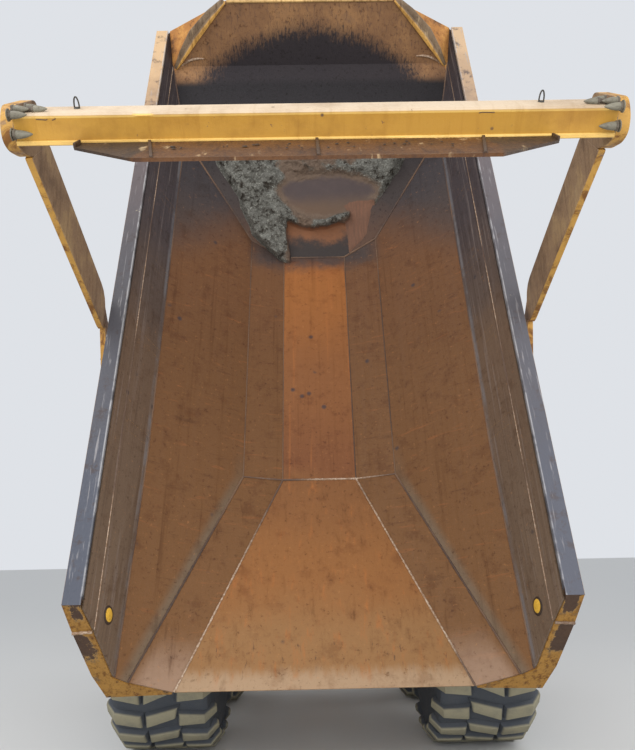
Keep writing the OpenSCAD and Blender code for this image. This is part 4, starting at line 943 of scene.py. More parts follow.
class Finish:
    """A node material whose patterns read Object coordinates, in metres."""

    def __init__(self, name, rough=0.6, metal=0.0, on_body=False):
        self.mat = bpy.data.materials.new(name)
        self.mat.use_nodes = True
        self.tree = self.mat.node_tree
        self.tree.nodes.clear()
        out = self.tree.nodes.new("ShaderNodeOutputMaterial")
        self.shader = self.tree.nodes.new("ShaderNodeBsdfPrincipled")
        self.tree.links.new(self.shader.outputs[0], out.inputs[0])
        self.shader.inputs["Roughness"].default_value = rough
        self.shader.inputs["Metallic"].default_value = metal
        self.shader.inputs["Specular IOR Level"].default_value = 0.25 if on_body else 0.4
        self.place = self.tree.nodes.new("ShaderNodeTexCoord").outputs["Object"]
        if on_body:
            turn = self.tree.nodes.new("ShaderNodeMapping")
            turn.vector_type = "TEXTURE"
            turn.inputs["Location"].default_value = HINGE.tolist()
            turn.inputs["Rotation"].default_value = (-RAISED, 0, 0)
            self.tree.links.new(self.place, turn.inputs[0])
            self.place = turn.outputs[0]

    def put(self, socket, value):
        if isinstance(value, bpy.types.NodeSocket):
            self.tree.links.new(value, socket)
        else:
            socket.default_value = value

    def noise(self, scale, detail=3.0, rough=0.55, stretch=None, warp=0.0):
        """Noise from 0 to 1; stretch multiplies the scale along X, Y and Z."""
        place = self.place
        if stretch:
            m = self.tree.nodes.new("ShaderNodeMapping")
            m.inputs["Scale"].default_value = stretch
            self.tree.links.new(place, m.inputs[0])
            place = m.outputs[0]
        n = self.tree.nodes.new("ShaderNodeTexNoise")
        self.tree.links.new(place, n.inputs["Vector"])
        n.inputs["Scale"].default_value = scale
        n.inputs["Detail"].default_value = detail
        n.inputs["Roughness"].default_value = rough
        n.inputs["Distortion"].default_value = warp
        return n.outputs[0]

    def cells(self, scale, feature="F1"):
        n = self.tree.nodes.new("ShaderNodeTexVoronoi")
        n.feature = feature
        self.tree.links.new(self.place, n.inputs["Vector"])
        n.inputs["Scale"].default_value = scale
        return n.outputs[0]

    def step(self, value, low, high, to=(0.0, 1.0)):
        """Smooth step of a value from low to high."""
        n = self.tree.nodes.new("ShaderNodeMapRange")
        n.interpolation_type = "SMOOTHSTEP"
        for key, v in zip(("Value", "From Min", "From Max", "To Min", "To Max"), (value, low, high, *to)):
            self.put(n.inputs[key], v)
        return n.outputs[0]

    def sum(self, op, a, b=0.0, clamp=False):
        n = self.tree.nodes.new("ShaderNodeMath")
        n.operation = op
        n.use_clamp = clamp
        self.put(n.inputs[0], a)
        self.put(n.inputs[1], b)
        return n.outputs[0]

    def times(self, a, b, clamp=False):
        return self.sum("MULTIPLY", a, b, clamp)

    def plus(self, a, b):
        return self.sum("ADD", a, b)

    def minus(self, a, b):
        return self.sum("SUBTRACT", a, b)

    def larger(self, a, b):
        return self.sum("MAXIMUM", a, b)

    def size(self, a):
        return self.sum("ABSOLUTE", a)

    def sway(self, noise, reach):
        """A noise from 0 to 1 as a swing about nought."""
        return self.times(self.minus(noise, 0.5), reach)

    def mix(self, amount, a, b, blend="MIX"):
        """From colour a to colour b; each is a socket, linear light or a screen colour of three numbers."""
        n = self.tree.nodes.new("ShaderNodeMix")
        n.data_type = "RGBA"
        n.blend_type = blend
        self.put(n.inputs[0], amount)
        for socket, colour in ((n.inputs[6], a), (n.inputs[7], b)):
            screen = isinstance(colour, tuple) and len(colour) == 3
            self.put(socket, tone(*colour) if screen else colour)
        return n.outputs[2]

    def mark(self):
        """The number kept at each point of a piece."""
        n = self.tree.nodes.new("ShaderNodeAttribute")
        n.attribute_name = "mark"
        return n.outputs["Fac"]

    def run(self, value, *stops):
        """Colours along a value: pairs of place and screen colour, in rising order."""
        colour = tone(*stops[0][1])
        for (low, _), (high, rgb) in zip(stops[:-1], stops[1:]):
            colour = self.mix(self.step(value, low, high), colour, tone(*rgb))
        return colour

    def rough(self, fine, low, high):
        """Roughness between two values, by a fine noise."""
        return self.step(fine, 0.3, 0.7, (low, high))

    def shade(self, amount, colour, r, g, b):
        """Colour darkened by a tint as far as the amount says."""
        return self.mix(amount, colour, tone(r, g, b), "MULTIPLY")

    def spread(self, value, centre, half):
        """One near a value and nought further off than half."""
        far = self.size(self.minus(value, centre))
        return self.step(far, half, half * 0.4)

    def axes(self):
        n = self.tree.nodes.new("ShaderNodeSeparateXYZ")
        self.tree.links.new(self.place, n.inputs[0])
        return n.outputs[0], n.outputs[1], n.outputs[2]

    def done(self, colour, rough=None, height=None, depth=0.002):
        self.put(self.shader.inputs["Base Color"], colour)
        if rough is not None:
            self.put(self.shader.inputs["Roughness"], rough)
        if height is not None:
            n = self.tree.nodes.new("ShaderNodeBump")
            n.inputs["Distance"].default_value = depth
            self.tree.links.new(height, n.inputs["Height"])
            self.tree.links.new(n.outputs[0], self.shader.inputs["Normal"])
        return self.mat


def yellow_paint(name, on_body=False, dirt=0.5):
    """Faded yellow: cloudy, with grime in patches, thin runs, and chips down to the primer."""
    f = Finish(name, on_body=on_body)
    cloud = f.noise(1.3, 5, 0.6)
    fine = f.noise(30, 4, 0.7)
    colour = f.mix(cloud, (206, 152, 58), (176, 124, 44))
    grime = f.step(f.noise(3.4, 6, 0.68, warp=0.6), 0.46, 0.72)
    colour = f.mix(f.times(grime, dirt), colour, (118, 92, 60))
    runs = f.step(f.noise(1.0, 4, 0.6, stretch=(22, 22, 1.4)), 0.56, 0.74)
    colour = f.mix(f.times(runs, dirt * 0.7), colour, (112, 82, 52))
    chips = f.step(f.noise(15, 6, 0.78), 0.65, 0.68)
    colour = f.mix(chips, colour, (84, 56, 42))
    return f.done(colour, f.rough(fine, 0.42, 0.68), f.minus(f.times(fine, 0.3), chips), 0.0012)


def load_plate(name):
    """Wearing plates: rust that pales down the chute, with painted shade darkening it towards the front and
    the rails.

    Colours change along the body with Y and across it with |X| and Z; streaks run the way the load slides."""
    f = Finish(name, on_body=True)
    x, y, z = f.axes()
    cloud = f.noise(1.8, 6, 0.65)
    blotch = f.noise(6.0, 6, 0.70)
    streak = f.noise(1.0, 5, 0.62, stretch=(20, 0.6, 20), warp=0.2)
    scratch = f.noise(1.0, 3, 0.6, stretch=(46, 0.9, 46))
    fine = f.noise(80, 4, 0.75)
    along = f.plus(y, f.sway(cloud, 0.7))
    near = f.plus(y, f.sway(blotch, 0.28))
    wide = f.size(x)
    floor = f.run(along, (-3.3, (134, 80, 37)), (-2.9, (136, 83, 38)), (-1.6, (119, 75, 41)),
                  (-0.9, (108, 66, 37)), (-0.7, (115, 75, 42)), (0.1, (127, 83, 44)), (0.72, (129, 93, 57)))
    floor = f.mix(f.times(f.step(streak, 0.46, 0.26), 0.55), floor, (152, 90, 40))
    lip = f.step(f.plus(y, f.sway(streak, 0.16)), 0.84, 0.96)
    floor = f.mix(f.times(lip, 0.72), floor, (156, 132, 106))
    drip = f.times(f.spread(y, 0.80, 0.16), f.step(scratch, 0.62, 0.72))
    floor = f.mix(f.times(drip, 0.7), floor, (70, 50, 38))
    side = f.run(along, (-3.4, (94, 62, 39)), (-2.8, (98, 64, 37)), (-1.5, (99, 66, 37)),
                 (0.6, (104, 71, 41)))
    floor_spread, wing_spread = 0.4035, 0.3983  # how much wider they get a metre behind the fold
    beyond = f.larger(f.plus(y, -FOLD_Y), 0.0)
    edge = f.plus(FLOOR_HALF, f.times(beyond, floor_spread))
    fold = f.plus(WING_HALF, f.times(beyond, wing_spread))
    up = f.minus(wide, fold)
    comb = f.noise(1.0, 4, 0.68, stretch=(2.2, 20, 5.0), warp=0.5)
    side = f.mix(f.times(f.step(comb, 0.58, 0.72), 0.45), side, (134, 82, 44))
    side = f.shade(f.step(comb, 0.42, 0.28, (0.0, 0.45)), side, 190, 184, 184)
    band = f.times(f.step(up, -0.004, 0.004), f.step(up, 0.10, 0.02))
    band = f.times(band, f.step(y, -1.1, -0.4))
    side = f.mix(f.times(band, 0.75), side, (98, 84, 68))
    tail = f.times(f.step(near, 0.55, 0.95), f.step(up, 0.02, -0.10))
    side = f.mix(f.times(tail, 0.7), side, (146, 120, 100))
    colour = f.mix(f.step(f.minus(wide, edge), -0.004, 0.008), floor, side)
    # Painted shade: dark blue-grey towards the front, reaching further back higher up the walls
    soot_and_shade = f.run(near, (-4.5, (51, 47, 51)), (-4.0, (57, 51, 52)), (-3.45, (66, 55, 51)))
    reach = f.times(f.step(z, 0.36, 1.0), 0.75)
    colour = f.mix(f.step(f.plus(near, f.times(reach, -1.0)), -3.34, -4.25), colour, soot_and_shade)
    foot = f.times(f.step(near, -3.07, -3.27, (0.0, 0.9)), f.step(z, 0.46, 0.38))
    colour = f.mix(foot, colour, (58, 50, 48))
    top = f.run(along, (-4.9, (58, 51, 53)), (-3.2, (66, 58, 59)), (-2.2, (84, 70, 62)), (-1.6, (98, 78, 62)),
                (0.4, (102, 84, 68)))
    top = f.mix(f.times(f.step(scratch, 0.56, 0.70), 0.4), top, (128, 116, 110))
    crest = f.times(f.spread(z, 0.925, 0.035), f.step(cloud, 0.40, 0.56, (0.1, 0.6)))
    top = f.mix(crest, top, (112, 110, 112))
    top = f.shade(f.step(streak, 0.44, 0.30, (0.0, 0.35)), top, 160, 150, 150)
    colour = f.mix(f.step(z, 0.902, 0.906), colour, top)
    colour = f.shade(f.step(streak, 0.54, 0.80, (0.0, 0.7)), colour, 190, 178, 170)
    speck = f.times(f.step(f.cells(5.0), 0.16, 0.06), f.step(f.noise(2.1, 2), 0.54, 0.60))
    colour = f.mix(f.times(speck, 0.8), colour, (54, 48, 50))
    colour = f.shade(f.step(blotch, 0.50, 0.70, (0.0, 0.6)), colour, 206, 190, 176)
    grain = f.noise(26, 5, 0.75)
    colour = f.shade(f.step(grain, 0.56, 0.70), colour, 200, 188, 178)
    colour = f.mix(f.step(grain, 0.40, 0.30, (0.0, 0.25)), colour, (176, 120, 70))
    rough = f.step(f.plus(fine, f.times(streak, 0.4)), 0.4, 0.9, (0.5, 0.8))
    return f.done(colour, rough, f.plus(f.times(streak, 0.8), f.plus(fine, grain)), 0.0012)


def head_plate(name):
    """Front plates: a dark purple arch low down, mottled orange-brown combed up over it, yellow corners."""
    f = Finish(name, on_body=True)
    x, y, z = f.axes()
    wide = f.size(x)
    cloud = f.noise(2.2, 6, 0.66)
    comb = f.noise(1.0, 6, 0.72, stretch=(44, 16, 12), warp=0.5)
    blotch = f.noise(5.0, 6, 0.7)
    fine = f.noise(70, 4, 0.75)
    arch = f.minus(1.62, f.times(f.sum("POWER", wide, 1.8), 0.33))
    over = f.plus(f.minus(z, arch), f.sway(comb, 0.55))
    low = f.mix(cloud, (36, 32, 36), (46, 40, 41))
    high = f.run(cloud, (0.30, (98, 71, 50)), (0.46, (126, 92, 63)), (0.58, (142, 105, 70)),
                 (0.74, (106, 82, 66)))
    high = f.mix(f.step(comb, 0.52, 0.62, (0.0, 0.55)), high, (84, 64, 54))
    colour = f.mix(f.step(over, -0.10, 0.12), low, high)
    slope = f.run(f.plus(y, f.times(blotch, 0.3)), (-5.0, (31, 28, 30)), (-4.4, (40, 36, 38)),
                  (-3.8, (60, 52, 50)), (-3.3, (84, 62, 50)))
    colour = f.mix(f.step(y, -5.16, -5.06), colour, slope)
    corner = f.minus(wide, f.minus(2.575, f.times(z, 0.908)))
    gold = f.run(blotch, (0.36, (190, 138, 74)), (0.52, (164, 112, 60)), (0.66, (110, 76, 50)))
    colour = f.mix(f.times(f.step(corner, 0.0, 0.02), f.step(y, -5.10, -5.16)), colour, gold)
    colour = f.shade(f.step(f.noise(24, 5, 0.75), 0.54, 0.68), colour, 186, 176, 170)
    return f.done(colour, f.rough(fine, 0.6, 0.85), f.plus(comb, fine), 0.0015)


def rail_metal(name):
    """Top rails: blue-grey worn steel, tan towards the front, paler along the inner edge, with scrapes."""
    f = Finish(name, 0.55, on_body=True)
    x, y, z = f.axes()
    cloud = f.noise(2.6, 6, 0.66)
    scrape = f.noise(1.0, 3, 0.7, stretch=(46, 3.0, 46), warp=0.5)
    fine = f.noise(60, 4, 0.75)
    along = f.plus(y, f.sway(cloud, 1.6))
    colour = f.run(along, (-5.4, (196, 164, 126)), (-4.7, (172, 142, 110)), (-3.9, (88, 78, 78)),
                   (-2.0, (72, 70, 74)), (0.4, (71, 74, 84)))
    colour = f.mix(f.step(f.noise(9, 5, 0.7), 0.54, 0.68, (0.0, 0.8)), colour, (66, 56, 54))
    colour = f.mix(f.step(scrape, 0.58, 0.70, (0.0, 0.55)), colour, (150, 146, 146))
    patch = f.times(f.step(f.noise(4.0, 6, 0.75), 0.64, 0.67), f.step(y, -1.5, -2.2))
    colour = f.mix(patch, colour, (168, 158, 136))
    colour = f.mix(f.step(x, 0.1, -0.1, (0.0, 0.10)), colour, (150, 146, 152))
    bright = f.times(f.step(f.size(x), 1.5725, 1.5705), f.step(f.noise(6, 4), 0.40, 0.56, (0.1, 0.55)))
    colour = f.mix(bright, colour, (170, 168, 168))
    underside = f.times(f.step(z, 1.385, 1.38), f.step(y, 0.6, 0.5))
    outside = f.larger(f.step(f.size(x), 1.6842, 1.6848), underside)
    paint = f.mix(cloud, (200, 148, 56), (168, 118, 44))
    paint = f.shade(f.step(f.noise(7, 5, 0.7), 0.50, 0.66, (0.0, 0.8)), paint, 140, 112, 84)
    colour = f.mix(outside, colour, f.mix(f.step(scrape, 0.62, 0.70, (0.0, 0.8)), paint, (92, 66, 48)))
    return f.done(colour, f.rough(fine, 0.42, 0.66), f.plus(scrape, fine), 0.001)


def worn_frame(name):
    """Yellow paint worn through to dark steel where the mark says."""
    f = Finish(name, on_body=True)
    mark = f.mark()
    cloud = f.noise(5.0, 5, 0.65)
    ragged = f.noise(24, 7, 0.80)
    coarse = f.noise(7, 4, 0.7)
    fine = f.noise(60, 4, 0.72)
    yellow = f.mix(cloud, (160, 119, 54), (122, 87, 42))
    yellow = f.shade(f.step(ragged, 0.46, 0.64), yellow, 158, 132, 104)
    bare = f.mix(f.noise(9, 5, 0.7), (40, 32, 30), (86, 62, 44))
    edge = f.plus(f.times(ragged, 2.4), f.times(coarse, 1.0))
    worn = f.step(f.plus(mark, f.minus(edge, 1.70)), 0.40, 0.66)
    colour = f.mix(worn, yellow, bare)
    rim = f.times(f.times(worn, f.minus(1.0, worn)), 3.0, True)
    colour = f.mix(f.times(rim, 0.3), colour, (190, 160, 110))
    height = f.plus(f.times(fine, 0.4), f.times(worn, -0.7))
    return f.done(colour, f.rough(fine, 0.45, 0.72), height, 0.0015)


def two_tone(name, low, high, on_body=True, rough=(0.45, 0.7), dirt=0.5, streaks=None):
    """Painted or bare metal between two colours by its mark, with cloud, grit, dirt and optional streaks."""
    f = Finish(name, on_body=on_body)
    mark = f.mark()
    cloud = f.noise(4.0, 5, 0.66)
    fine = f.noise(52, 4, 0.74)
    shift = f.plus(mark, f.sway(f.noise(11, 5, 0.72), 0.5))
    colour = f.mix(f.step(shift, 0.25, 0.75), low, high)
    colour = f.shade(f.step(cloud, 0.40, 0.72, (0.0, dirt)), colour, 132, 118, 106)
    colour = f.shade(f.step(fine, 0.52, 0.66, (0.0, 0.6)), colour, 186, 176, 168)
    if streaks:
        s = f.noise(1.0, 4, 0.66, stretch=streaks, warp=0.3)
        colour = f.shade(f.step(s, 0.50, 0.68, (0.0, 0.8)), colour, 176, 160, 146)
        colour = f.mix(f.step(s, 0.40, 0.26, (0.0, 0.4)), colour, (226, 196, 150))
    return f.done(colour, f.rough(fine, *rough), fine, 0.0012)


def gate_paint(name):
    """Tailgate beam: ochre web with faint upright streaks; by the mark, a bright painted highlight on the
    lower flange and a paler painted highlight on the top.
    """
    f = Finish(name)
    mark = f.mark()
    cloud = f.noise(1.7, 5, 0.65)
    fine = f.noise(55, 4, 0.74)
    fall = f.noise(1.0, 4, 0.6, stretch=(24, 2.2, 2.2), warp=0.3)
    # Painted light by the mark: ochre web, bright painted highlight on the lower flange, paler painted
    # highlight on the top
    colour = f.run(f.plus(mark, f.sway(fine, 0.3)), (0.05, (182, 136, 52)),
                   (0.75, (222, 184, 102)), (1.25, (214, 172, 96)), (1.75, (192, 172, 146)))
    colour = f.shade(f.step(cloud, 0.46, 0.70, (0.0, 0.5)), colour, 178, 156, 128)
    colour = f.shade(f.step(fall, 0.52, 0.70, (0.0, 0.22)), colour, 206, 186, 150)
    spot = f.step(f.cells(9.0), 0.13, 0.05)
    colour = f.mix(f.times(spot, f.step(f.noise(3.0, 2), 0.52, 0.58)), colour, (96, 72, 54))
    chips = f.step(f.noise(17, 6, 0.78), 0.65, 0.68)
    colour = f.mix(chips, colour, (112, 82, 58))
    return f.done(colour, f.rough(fine, 0.42, 0.66), f.plus(fall, fine), 0.0012)


def arm_paint(name):
    """Tailgate arms: tan-brown inner face, painted shade on the yellow, with slanted scratches; bright yellow
    on the edges and outside.
    """
    f = Finish(name)
    x = f.axes()[0]
    cloud = f.noise(2.6, 6, 0.66)
    fine = f.noise(60, 4, 0.74)
    slant = f.noise(1.0, 4, 0.68, stretch=(3, 34, 3.2), warp=0.5)
    # Painted shade: the inner face drawn tan-brown in place of the yellow paint
    inner = f.run(cloud, (0.34, (104, 82, 62)), (0.50, (130, 105, 80)), (0.64, (150, 124, 90)))
    inner = f.shade(f.step(slant, 0.50, 0.64, (0.0, 0.4)), inner, 168, 150, 136)
    inner = f.mix(f.step(slant, 0.38, 0.28, (0.0, 0.25)), inner, (196, 176, 136))
    outer = f.mix(cloud, (200, 154, 72), (168, 124, 56))
    outer = f.shade(f.step(f.noise(7, 6, 0.74, warp=0.6), 0.46, 0.62, (0.0, 0.9)), outer, 150, 122, 100)
    outer = f.mix(f.step(f.noise(12, 6, 0.78), 0.58, 0.66, (0.0, 0.6)), outer, (120, 100, 86))
    # Inner faces take the painted shade, edges and outsides the yellow
    wide = f.plus(f.size(x), f.sway(fine, 0.004))
    colour = f.mix(f.step(wide, 1.738, 1.744), inner, outer)
    chips = f.step(f.noise(17, 6, 0.78), 0.64, 0.67)
    colour = f.mix(chips, colour, (92, 64, 46))
    return f.done(colour, f.rough(fine, 0.45, 0.7), f.plus(slant, fine), 0.001)


def plain(name, colour, rough, metal=0.0):
    """Plain matter with cloud, dust in patches, and fine grain."""
    f = Finish(name, rough, metal)
    cloud = f.noise(3.0, 5, 0.62)
    fine = f.noise(42, 4, 0.72)
    dark = (*[v * 0.62 for v in colour[:3]], 1.0)
    shade = f.mix(cloud, colour, dark)
    dust = f.step(f.noise(6.5, 6, 0.7), 0.50, 0.70)
    shade = f.mix(f.times(dust, 0.35), shade, (128, 112, 90))
    return f.done(shade, f.step(fine, 0.2, 0.8, (max(rough - 0.12, 0.04), rough + 0.12)), fine, 0.0008)


def weld_metal(name, bright=True):
    """Bead: pale worn metal mottled with darker patches, or dark and rusty."""
    f = Finish(name, 0.5, on_body=True)
    fine = f.noise(48, 4, 0.72)
    cloud = f.noise(1.3, 3)
    if bright:
        a, b, c = (178, 158, 138), (134, 106, 82), (90, 70, 58)
    else:
        a, b, c = (62, 51, 47), (82, 63, 52), (106, 82, 64)
    colour = f.mix(f.step(fine, 0.35, 0.6), a, b)
    colour = f.mix(f.step(cloud, 0.42, 0.62), colour, c)
    return f.done(colour, f.rough(fine, 0.4, 0.65), fine, 0.001)


def crust(name):
    """Grey set mud by the mark: rust at 0, a smooth purple-brown stain near a half, pebbly crust at 1."""
    f = Finish(name, 0.9, on_body=True)
    mark = f.mark()
    cloud = f.noise(5, 6, 0.68)
    fine = f.noise(48, 5, 0.76)
    grit = f.cells(34)
    y = f.axes()[1]
    grey = f.mix(cloud, (112, 111, 104), (72, 69, 64))
    grey = f.mix(f.step(fine, 0.52, 0.64), grey, (138, 137, 128))
    grey = f.mix(f.step(grit, 0.30, 0.06, (0.0, 0.6)), grey, (112, 111, 104))
    grey = f.shade(f.step(f.noise(11, 6, 0.78), 0.48, 0.62), grey, 116, 104, 94)
    stain = f.mix(f.noise(7, 5, 0.65), (80, 68, 65), (64, 56, 56))
    brown = f.mix(f.noise(20, 6, 0.75), (112, 94, 78), (78, 64, 56))
    rust = f.mix(cloud, (128, 84, 56), (100, 70, 52))
    # Darker towards the slope's foot: soot with painted shade in the crease
    soot_and_shade = f.step(f.plus(y, f.sway(f.noise(5, 5, 0.7), 0.45)), -3.58, -3.40)
    rust = f.mix(soot_and_shade, rust, (56, 50, 48))
    plate = f.mix(f.noise(1.0, 4, 0.7, stretch=(46, 7, 7)), (124, 88, 68), (74, 56, 48))
    colour = f.mix(f.step(mark, 0.10, 0.16), rust, plate)
    colour = f.mix(f.step(mark, 0.34, 0.42), colour, stain)
    low = f.step(f.plus(y, f.times(cloud, 0.1)), -3.92, -3.72, (0.0, 0.8))
    colour = f.mix(f.times(low, f.step(mark, 0.34, 0.42)), colour, (96, 76, 60))
    loose = f.plus(mark, f.sway(f.noise(14, 6, 0.75), 0.3))
    colour = f.mix(f.step(loose, 0.52, 0.70), colour, brown)
    colour = f.mix(f.step(f.plus(mark, f.sway(fine, 0.3)), 0.72, 0.86), colour, grey)
    height = f.times(f.plus(fine, f.minus(0.5, grit)), f.step(mark, 0.55, 0.8, (0.12, 1.0)))
    return f.done(colour, f.step(fine, 0.2, 0.8, (0.78, 0.95)), height, 0.010)


def dusty_rubber_with_groove_shade(name):
    """Lug faces under pale dust; dark blue-grey below them, in the grooves and on the carcass, the rubber's
    own dark with painted shade.
    """
    f = Finish(name, 0.85)
    mark = f.mark()
    dust = f.noise(9, 5, 0.7)
    fine = f.noise(90, 3, 0.7)
    # Painted shade with the rubber's own dark: blue-grey wherever the mark is below the lug faces
    colour = f.mix(dust, (56, 62, 72), (76, 78, 80))
    face = f.times(f.step(mark, 0.55, 0.95), f.step(dust, 0.2, 0.6, (0.65, 1.0)))
    colour = f.mix(face, colour, (138, 132, 110))
    return f.done(colour, f.step(fine, 0.2, 0.8, (0.75, 0.95)), f.plus(dust, fine), 0.002)


def paint_nodes():
    """The finish of its material slot for every solid, or its own."""
    slots = {s["node"]: s["material_slot"] for s in frame["record"]["subparts"]}
    finishes = {
        "yellow_paint": yellow_paint("yellow paint"),
        "worn_bed": load_plate("rusty load plate"),
        "grey_paint": plain("worn steel", tone(92, 90, 92), 0.5, 0.2),
        "dark_paint": plain("chassis paint", tone(46, 46, 46), 0.6),
        "rod_steel": plain("plated rod", tone(190, 190, 195), 0.25, 1.0),
        "exhaust_steel": plain("scaled exhaust", tone(90, 82, 76), 0.6, 0.6),
        "seat_cloth": plain("seat cloth", tone(40, 40, 44), 0.9),
        "dash_plastic": plain("dash plastic", tone(38, 38, 40), 0.6),
        "lamp_clear": plain("clear lens", tone(210, 212, 215), 0.2),
        "lamp_red": plain("red lens", tone(130, 20, 16), 0.3),
        "tyre_rubber": plain("dusty rubber", tone(70, 70, 66), 0.85),
        "wheel_paint": yellow_paint("wheel paint", dirt=0.8),
    }
    glass = Finish("tinted glazing", 0.05)
    glass.shader.inputs["Transmission Weight"].default_value = 1.0
    glass.shader.inputs["IOR"].default_value = 1.45
    finishes["glazing"] = glass.done(tone(200, 215, 212))
    own = {"bed_rails": rail_metal("worn top rail"), "bed_front": head_plate("front plates"),
           "bed_beams": yellow_paint("yellow paint on the body", on_body=True)}
    for name, obj in NODES.items():
        mat = own.get(name, finishes[slots[name]])
        obj.data.materials.clear()
        obj.data.materials.append(mat)


# Camera, floor and light

LAMPS = (  # name, place, what it faces, power and width
    ("key", (5, 9, 9), (0, 3, 3), 500, 6),
    ("fill", (-7, 6, 6), (0, 2, 3), 300, 6),
    ("bounce", (0, 11.5, 3.0), (0, 4, 4.6), 380, 5.5),
)


def set_camera(s):
    """Camera turned by yaw, pitch and roll from looking along -Y."""
    yaw, pitch, roll = s.yaw, s.pitch, s.roll
    right = np.array([-cos(yaw), sin(yaw), 0])
    ahead = np.array([-sin(yaw), -cos(yaw), 0])
    up = -sin(pitch) * ahead + np.array([0, 0, cos(pitch)])
    ahead = cos(pitch) * ahead + np.array([0, 0, sin(pitch)])
    right, up = right * cos(roll) + up * sin(roll), up * cos(roll) - right * sin(roll)
    cam = bpy.data.cameras.new("camera")
    cam.lens = s.lens
    cam.sensor_width = 36
    obj = bpy.data.objects.new("camera", cam)
    m = Matrix.Identity(4)
    for r in range(3):
        m[r][0], m[r][1], m[r][2] = right[r], up[r], -ahead[r]
    m.translation = (s.eye_x, HINGE[1] + s.eye_back, s.eye_z)
    obj.matrix_world = m
    bpy.context.scene.collection.objects.link(obj)
    bpy.context.scene.camera = obj


def set_studio(s):
    """Pale floor, an even sky and soft lamps that the camera doesn't see."""
    half = 60.0
    mesh = bpy.data.meshes.new("floor")
    mesh.from_pydata([(x, y, 0) for x, y in rect(-half, half, -half, half)], [], [(0, 1, 2, 3)])
    mesh.materials.append(Finish("pale floor", 0.9).done(tone(205, 205, 203)))
    floor = bpy.data.objects.new("floor", mesh)
    bpy.context.scene.collection.objects.link(floor)

    world = bpy.data.worlds.new("studio")
    world.use_nodes = True
    sky = world.node_tree.nodes["Background"]
    sky.inputs[0].default_value = (0.92, 0.95, 1.0, 1)
    sky.inputs[1].default_value = s.sky
    bpy.context.scene.world = world
    for name, place, look, power, wide in LAMPS:
        lamp = bpy.data.lights.new(name, "AREA")
        lamp.energy = power
        lamp.size = wide
        obj = bpy.data.objects.new(name, lamp)
        obj.matrix_world = (Vector(place) - Vector(look)).to_track_quat("Z", "Y").to_matrix().to_4x4()
        obj.matrix_world.translation = place
        obj.visible_camera = False
        bpy.context.scene.collection.objects.link(obj)
    bpy.context.scene.view_settings.view_transform = "Standard"


# Sizes that a user would change

def length(name, description, default):
    """A size in metres."""
    return FloatProperty(name=name, description=description, default=default, unit="LENGTH")


class TruckStage(bpy.types.PropertyGroup):
    """View and light"""
    lens: FloatProperty(name="Lens", description="Focal length on a 36 mm frame", default=35.63,
                        unit="CAMERA")
    yaw: FloatProperty(name="Yaw", description="Turn of the view", default=radians(0.576), subtype="ANGLE")
    pitch: FloatProperty(name="Pitch", description="Upward tilt of the view", default=radians(12.949),
                         subtype="ANGLE")
    roll: FloatProperty(name="Roll", description="Roll of the view", default=radians(-1.143), subtype="ANGLE")
    eye_x: length("Eye across", "Sideways place of the eye", 0.063)
    eye_back: length("Eye behind", "Eye behind the tipping hinge", 6.516)
    eye_z: length("Eye height", "Eye above the ground", 1.616)
    sky: FloatProperty(name="Sky", description="Strength of the even light", default=0.8, min=0)


class TruckTyre(bpy.types.PropertyGroup):
    """Tyres"""
    radius: length("Radius", "Radius over the lugs", 0.935)
    width: length("Width", "Width over the sidewalls", 0.765)
    lug_height: length("Lug height", "Depth of the grooves", 0.05)
    lugs: IntProperty(name="Lugs", description="Lugs of one row around the tyre", default=24, min=12, max=36)


class TruckBody(bpy.types.PropertyGroup):
    """Load space, from the tipping hinge"""
    rail_rear: length("Rail rear", "Reach of the rails behind the hinge", 0.598)
    rail_z: length("Rail height", "Rail tops above the hinge", 1.42)
    end_slope: FloatProperty(name="End slope", description="Reach gained a unit of depth along the rear end",
                             default=0.656)
    floor_x: length("Floor half width", "Half width of the flat floor", FLOOR_HALF)
    floor_z: length("Floor height", "Load floor above the hinge", 0.338)
    fold_y: length("Chute fold", "Place of the fold where the chute starts", FOLD_Y)
    slope_y: length("Slope foot", "Place of the foot of the front slope", -3.3)
    slope_rise: FloatProperty(name="Slope rise",
                              description="Height gained a unit of length up the front slope",
                              default=0.46)
    wing_x: length("Wing half width", "Half width over the floor's wings", WING_HALF)
    wing_z: length("Wing height", "Outer edge of the wings above the hinge", 0.42)
    bead: length("Weld bead", "Radius of the weld beads", 0.008)


class TruckGate(bpy.types.PropertyGroup):
    """Tailgate"""
    beam_side: length("Beam side", "Side of the beam's section", 0.185)
    beam_half: length("Beam half length", "Half length between the arms", 1.7348)
    arm_inner: length("Arm place", "Inner face of the arms from the middle", 1.735)
    arm_thick: length("Arm thickness", "Thickness of the arms' blades", 0.05)


class TruckCab(bpy.types.PropertyGroup):
    """Cab"""
    cab_half: length("Cab half width", "Side faces of the cab from the middle", 0.825)


# Operators, one for each group of pieces

class TRUCK_OT_stage(bpy.types.Operator):
    """Set the camera, the pale floor and the soft light"""
    bl_idname = "truck.stage"
    bl_label = "Camera and Light"

    def execute(self, context):
        set_camera(context.scene.truck_stage)
        set_studio(context.scene.truck_stage)
        return {"FINISHED"}


class TRUCK_OT_paint(bpy.types.Operator):
    """Give every solid its finish"""
    bl_idname = "truck.paint"
    bl_label = "Paint"

    def execute(self, context):
        paint_nodes()
        return {"FINISHED"}


class TRUCK_OT_tyres(bpy.types.Operator):
    """Make the six lugged tyres"""
    bl_idname = "truck.tyres"
    bl_label = "Tyres"

    def execute(self, context):
        build_tyres(context.scene.truck_tyre)
        return {"FINISHED"}


class TRUCK_OT_welds(bpy.types.Operator):
    """Lay the weld beads in the folds of the load space"""
    bl_idname = "truck.welds"
    bl_label = "Weld Beads"

    def execute(self, context):
        build_welds(context.scene.truck_body)
        return {"FINISHED"}


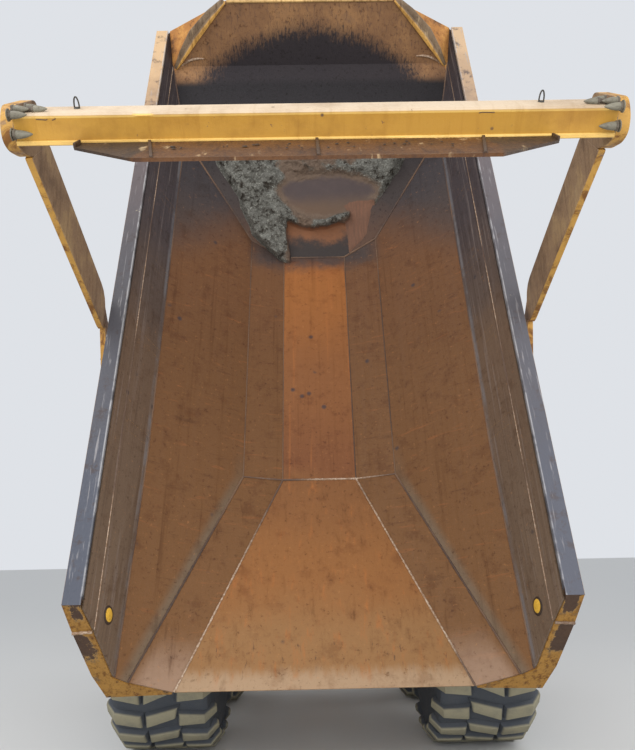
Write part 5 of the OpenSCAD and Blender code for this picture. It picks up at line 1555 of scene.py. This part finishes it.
class TRUCK_OT_residue(bpy.types.Operator):
    """Spread the set crust on the front slope"""
    bl_idname = "truck.residue"
    bl_label = "Residue"

    def execute(self, context):
        build_residue(context.scene.truck_body)
        return {"FINISHED"}


class TRUCK_OT_tailgate(bpy.types.Operator):
    """Make the tailgate's beam, panel and arms with their fittings"""
    bl_idname = "truck.tailgate"
    bl_label = "Tailgate"

    def execute(self, context):
        gate = context.scene.truck_gate
        build_beam(gate)
        build_panel(gate)
        build_arms(gate)
        return {"FINISHED"}


class TRUCK_OT_body_ends(bpy.types.Operator):
    """Make the rear end frame, the headboard's flanges and the pivot pins' plates"""
    bl_idname = "truck.body_ends"
    bl_label = "Body Ends"

    def execute(self, context):
        build_end_frame(context.scene.truck_body)
        build_headboard()
        build_pins()
        return {"FINISHED"}


class TRUCK_OT_shell(bpy.types.Operator):
    """Cover the outside of the load space and set its ribs"""
    bl_idname = "truck.shell"
    bl_label = "Body Outside"

    def execute(self, context):
        build_shell(context.scene.truck_body)
        return {"FINISHED"}


class TRUCK_OT_fittings(bpy.types.Operator):
    """Set the small parts of the wheels and the tractor"""
    bl_idname = "truck.fittings"
    bl_label = "Fittings"

    def execute(self, context):
        build_wheels()
        build_cab_fittings(context.scene.truck_cab)
        return {"FINISHED"}


class TRUCK_PT_panel(bpy.types.Panel):
    bl_label = "Dump Truck"
    bl_idname = "TRUCK_PT_panel"
    bl_space_type = "VIEW_3D"
    bl_region_type = "UI"
    bl_category = "Dump Truck"

    def draw(self, context):
        for op in OPERATORS:
            self.layout.operator(op.bl_idname)


# In the order in which they are called
OPERATORS = (TRUCK_OT_stage, TRUCK_OT_paint, TRUCK_OT_tyres, TRUCK_OT_welds, TRUCK_OT_residue,
             TRUCK_OT_tailgate, TRUCK_OT_body_ends, TRUCK_OT_shell, TRUCK_OT_fittings)
GROUPS = {"truck_stage": TruckStage, "truck_tyre": TruckTyre, "truck_body": TruckBody,
          "truck_gate": TruckGate, "truck_cab": TruckCab}


def register():
    for c in (*GROUPS.values(), *OPERATORS, TRUCK_PT_panel):
        bpy.utils.register_class(c)
    for key, c in GROUPS.items():
        setattr(bpy.types.Scene, key, bpy.props.PointerProperty(type=c))


def unregister():
    for key in GROUPS:
        delattr(bpy.types.Scene, key)
    for c in (TRUCK_PT_panel, *reversed(OPERATORS), *GROUPS.values()):
        bpy.utils.unregister_class(c)


def main():
    register()
    for op in OPERATORS:
        group, name = op.bl_idname.split(".")
        getattr(getattr(bpy.ops, group), name)()


if __name__ == "__main__":
    main()
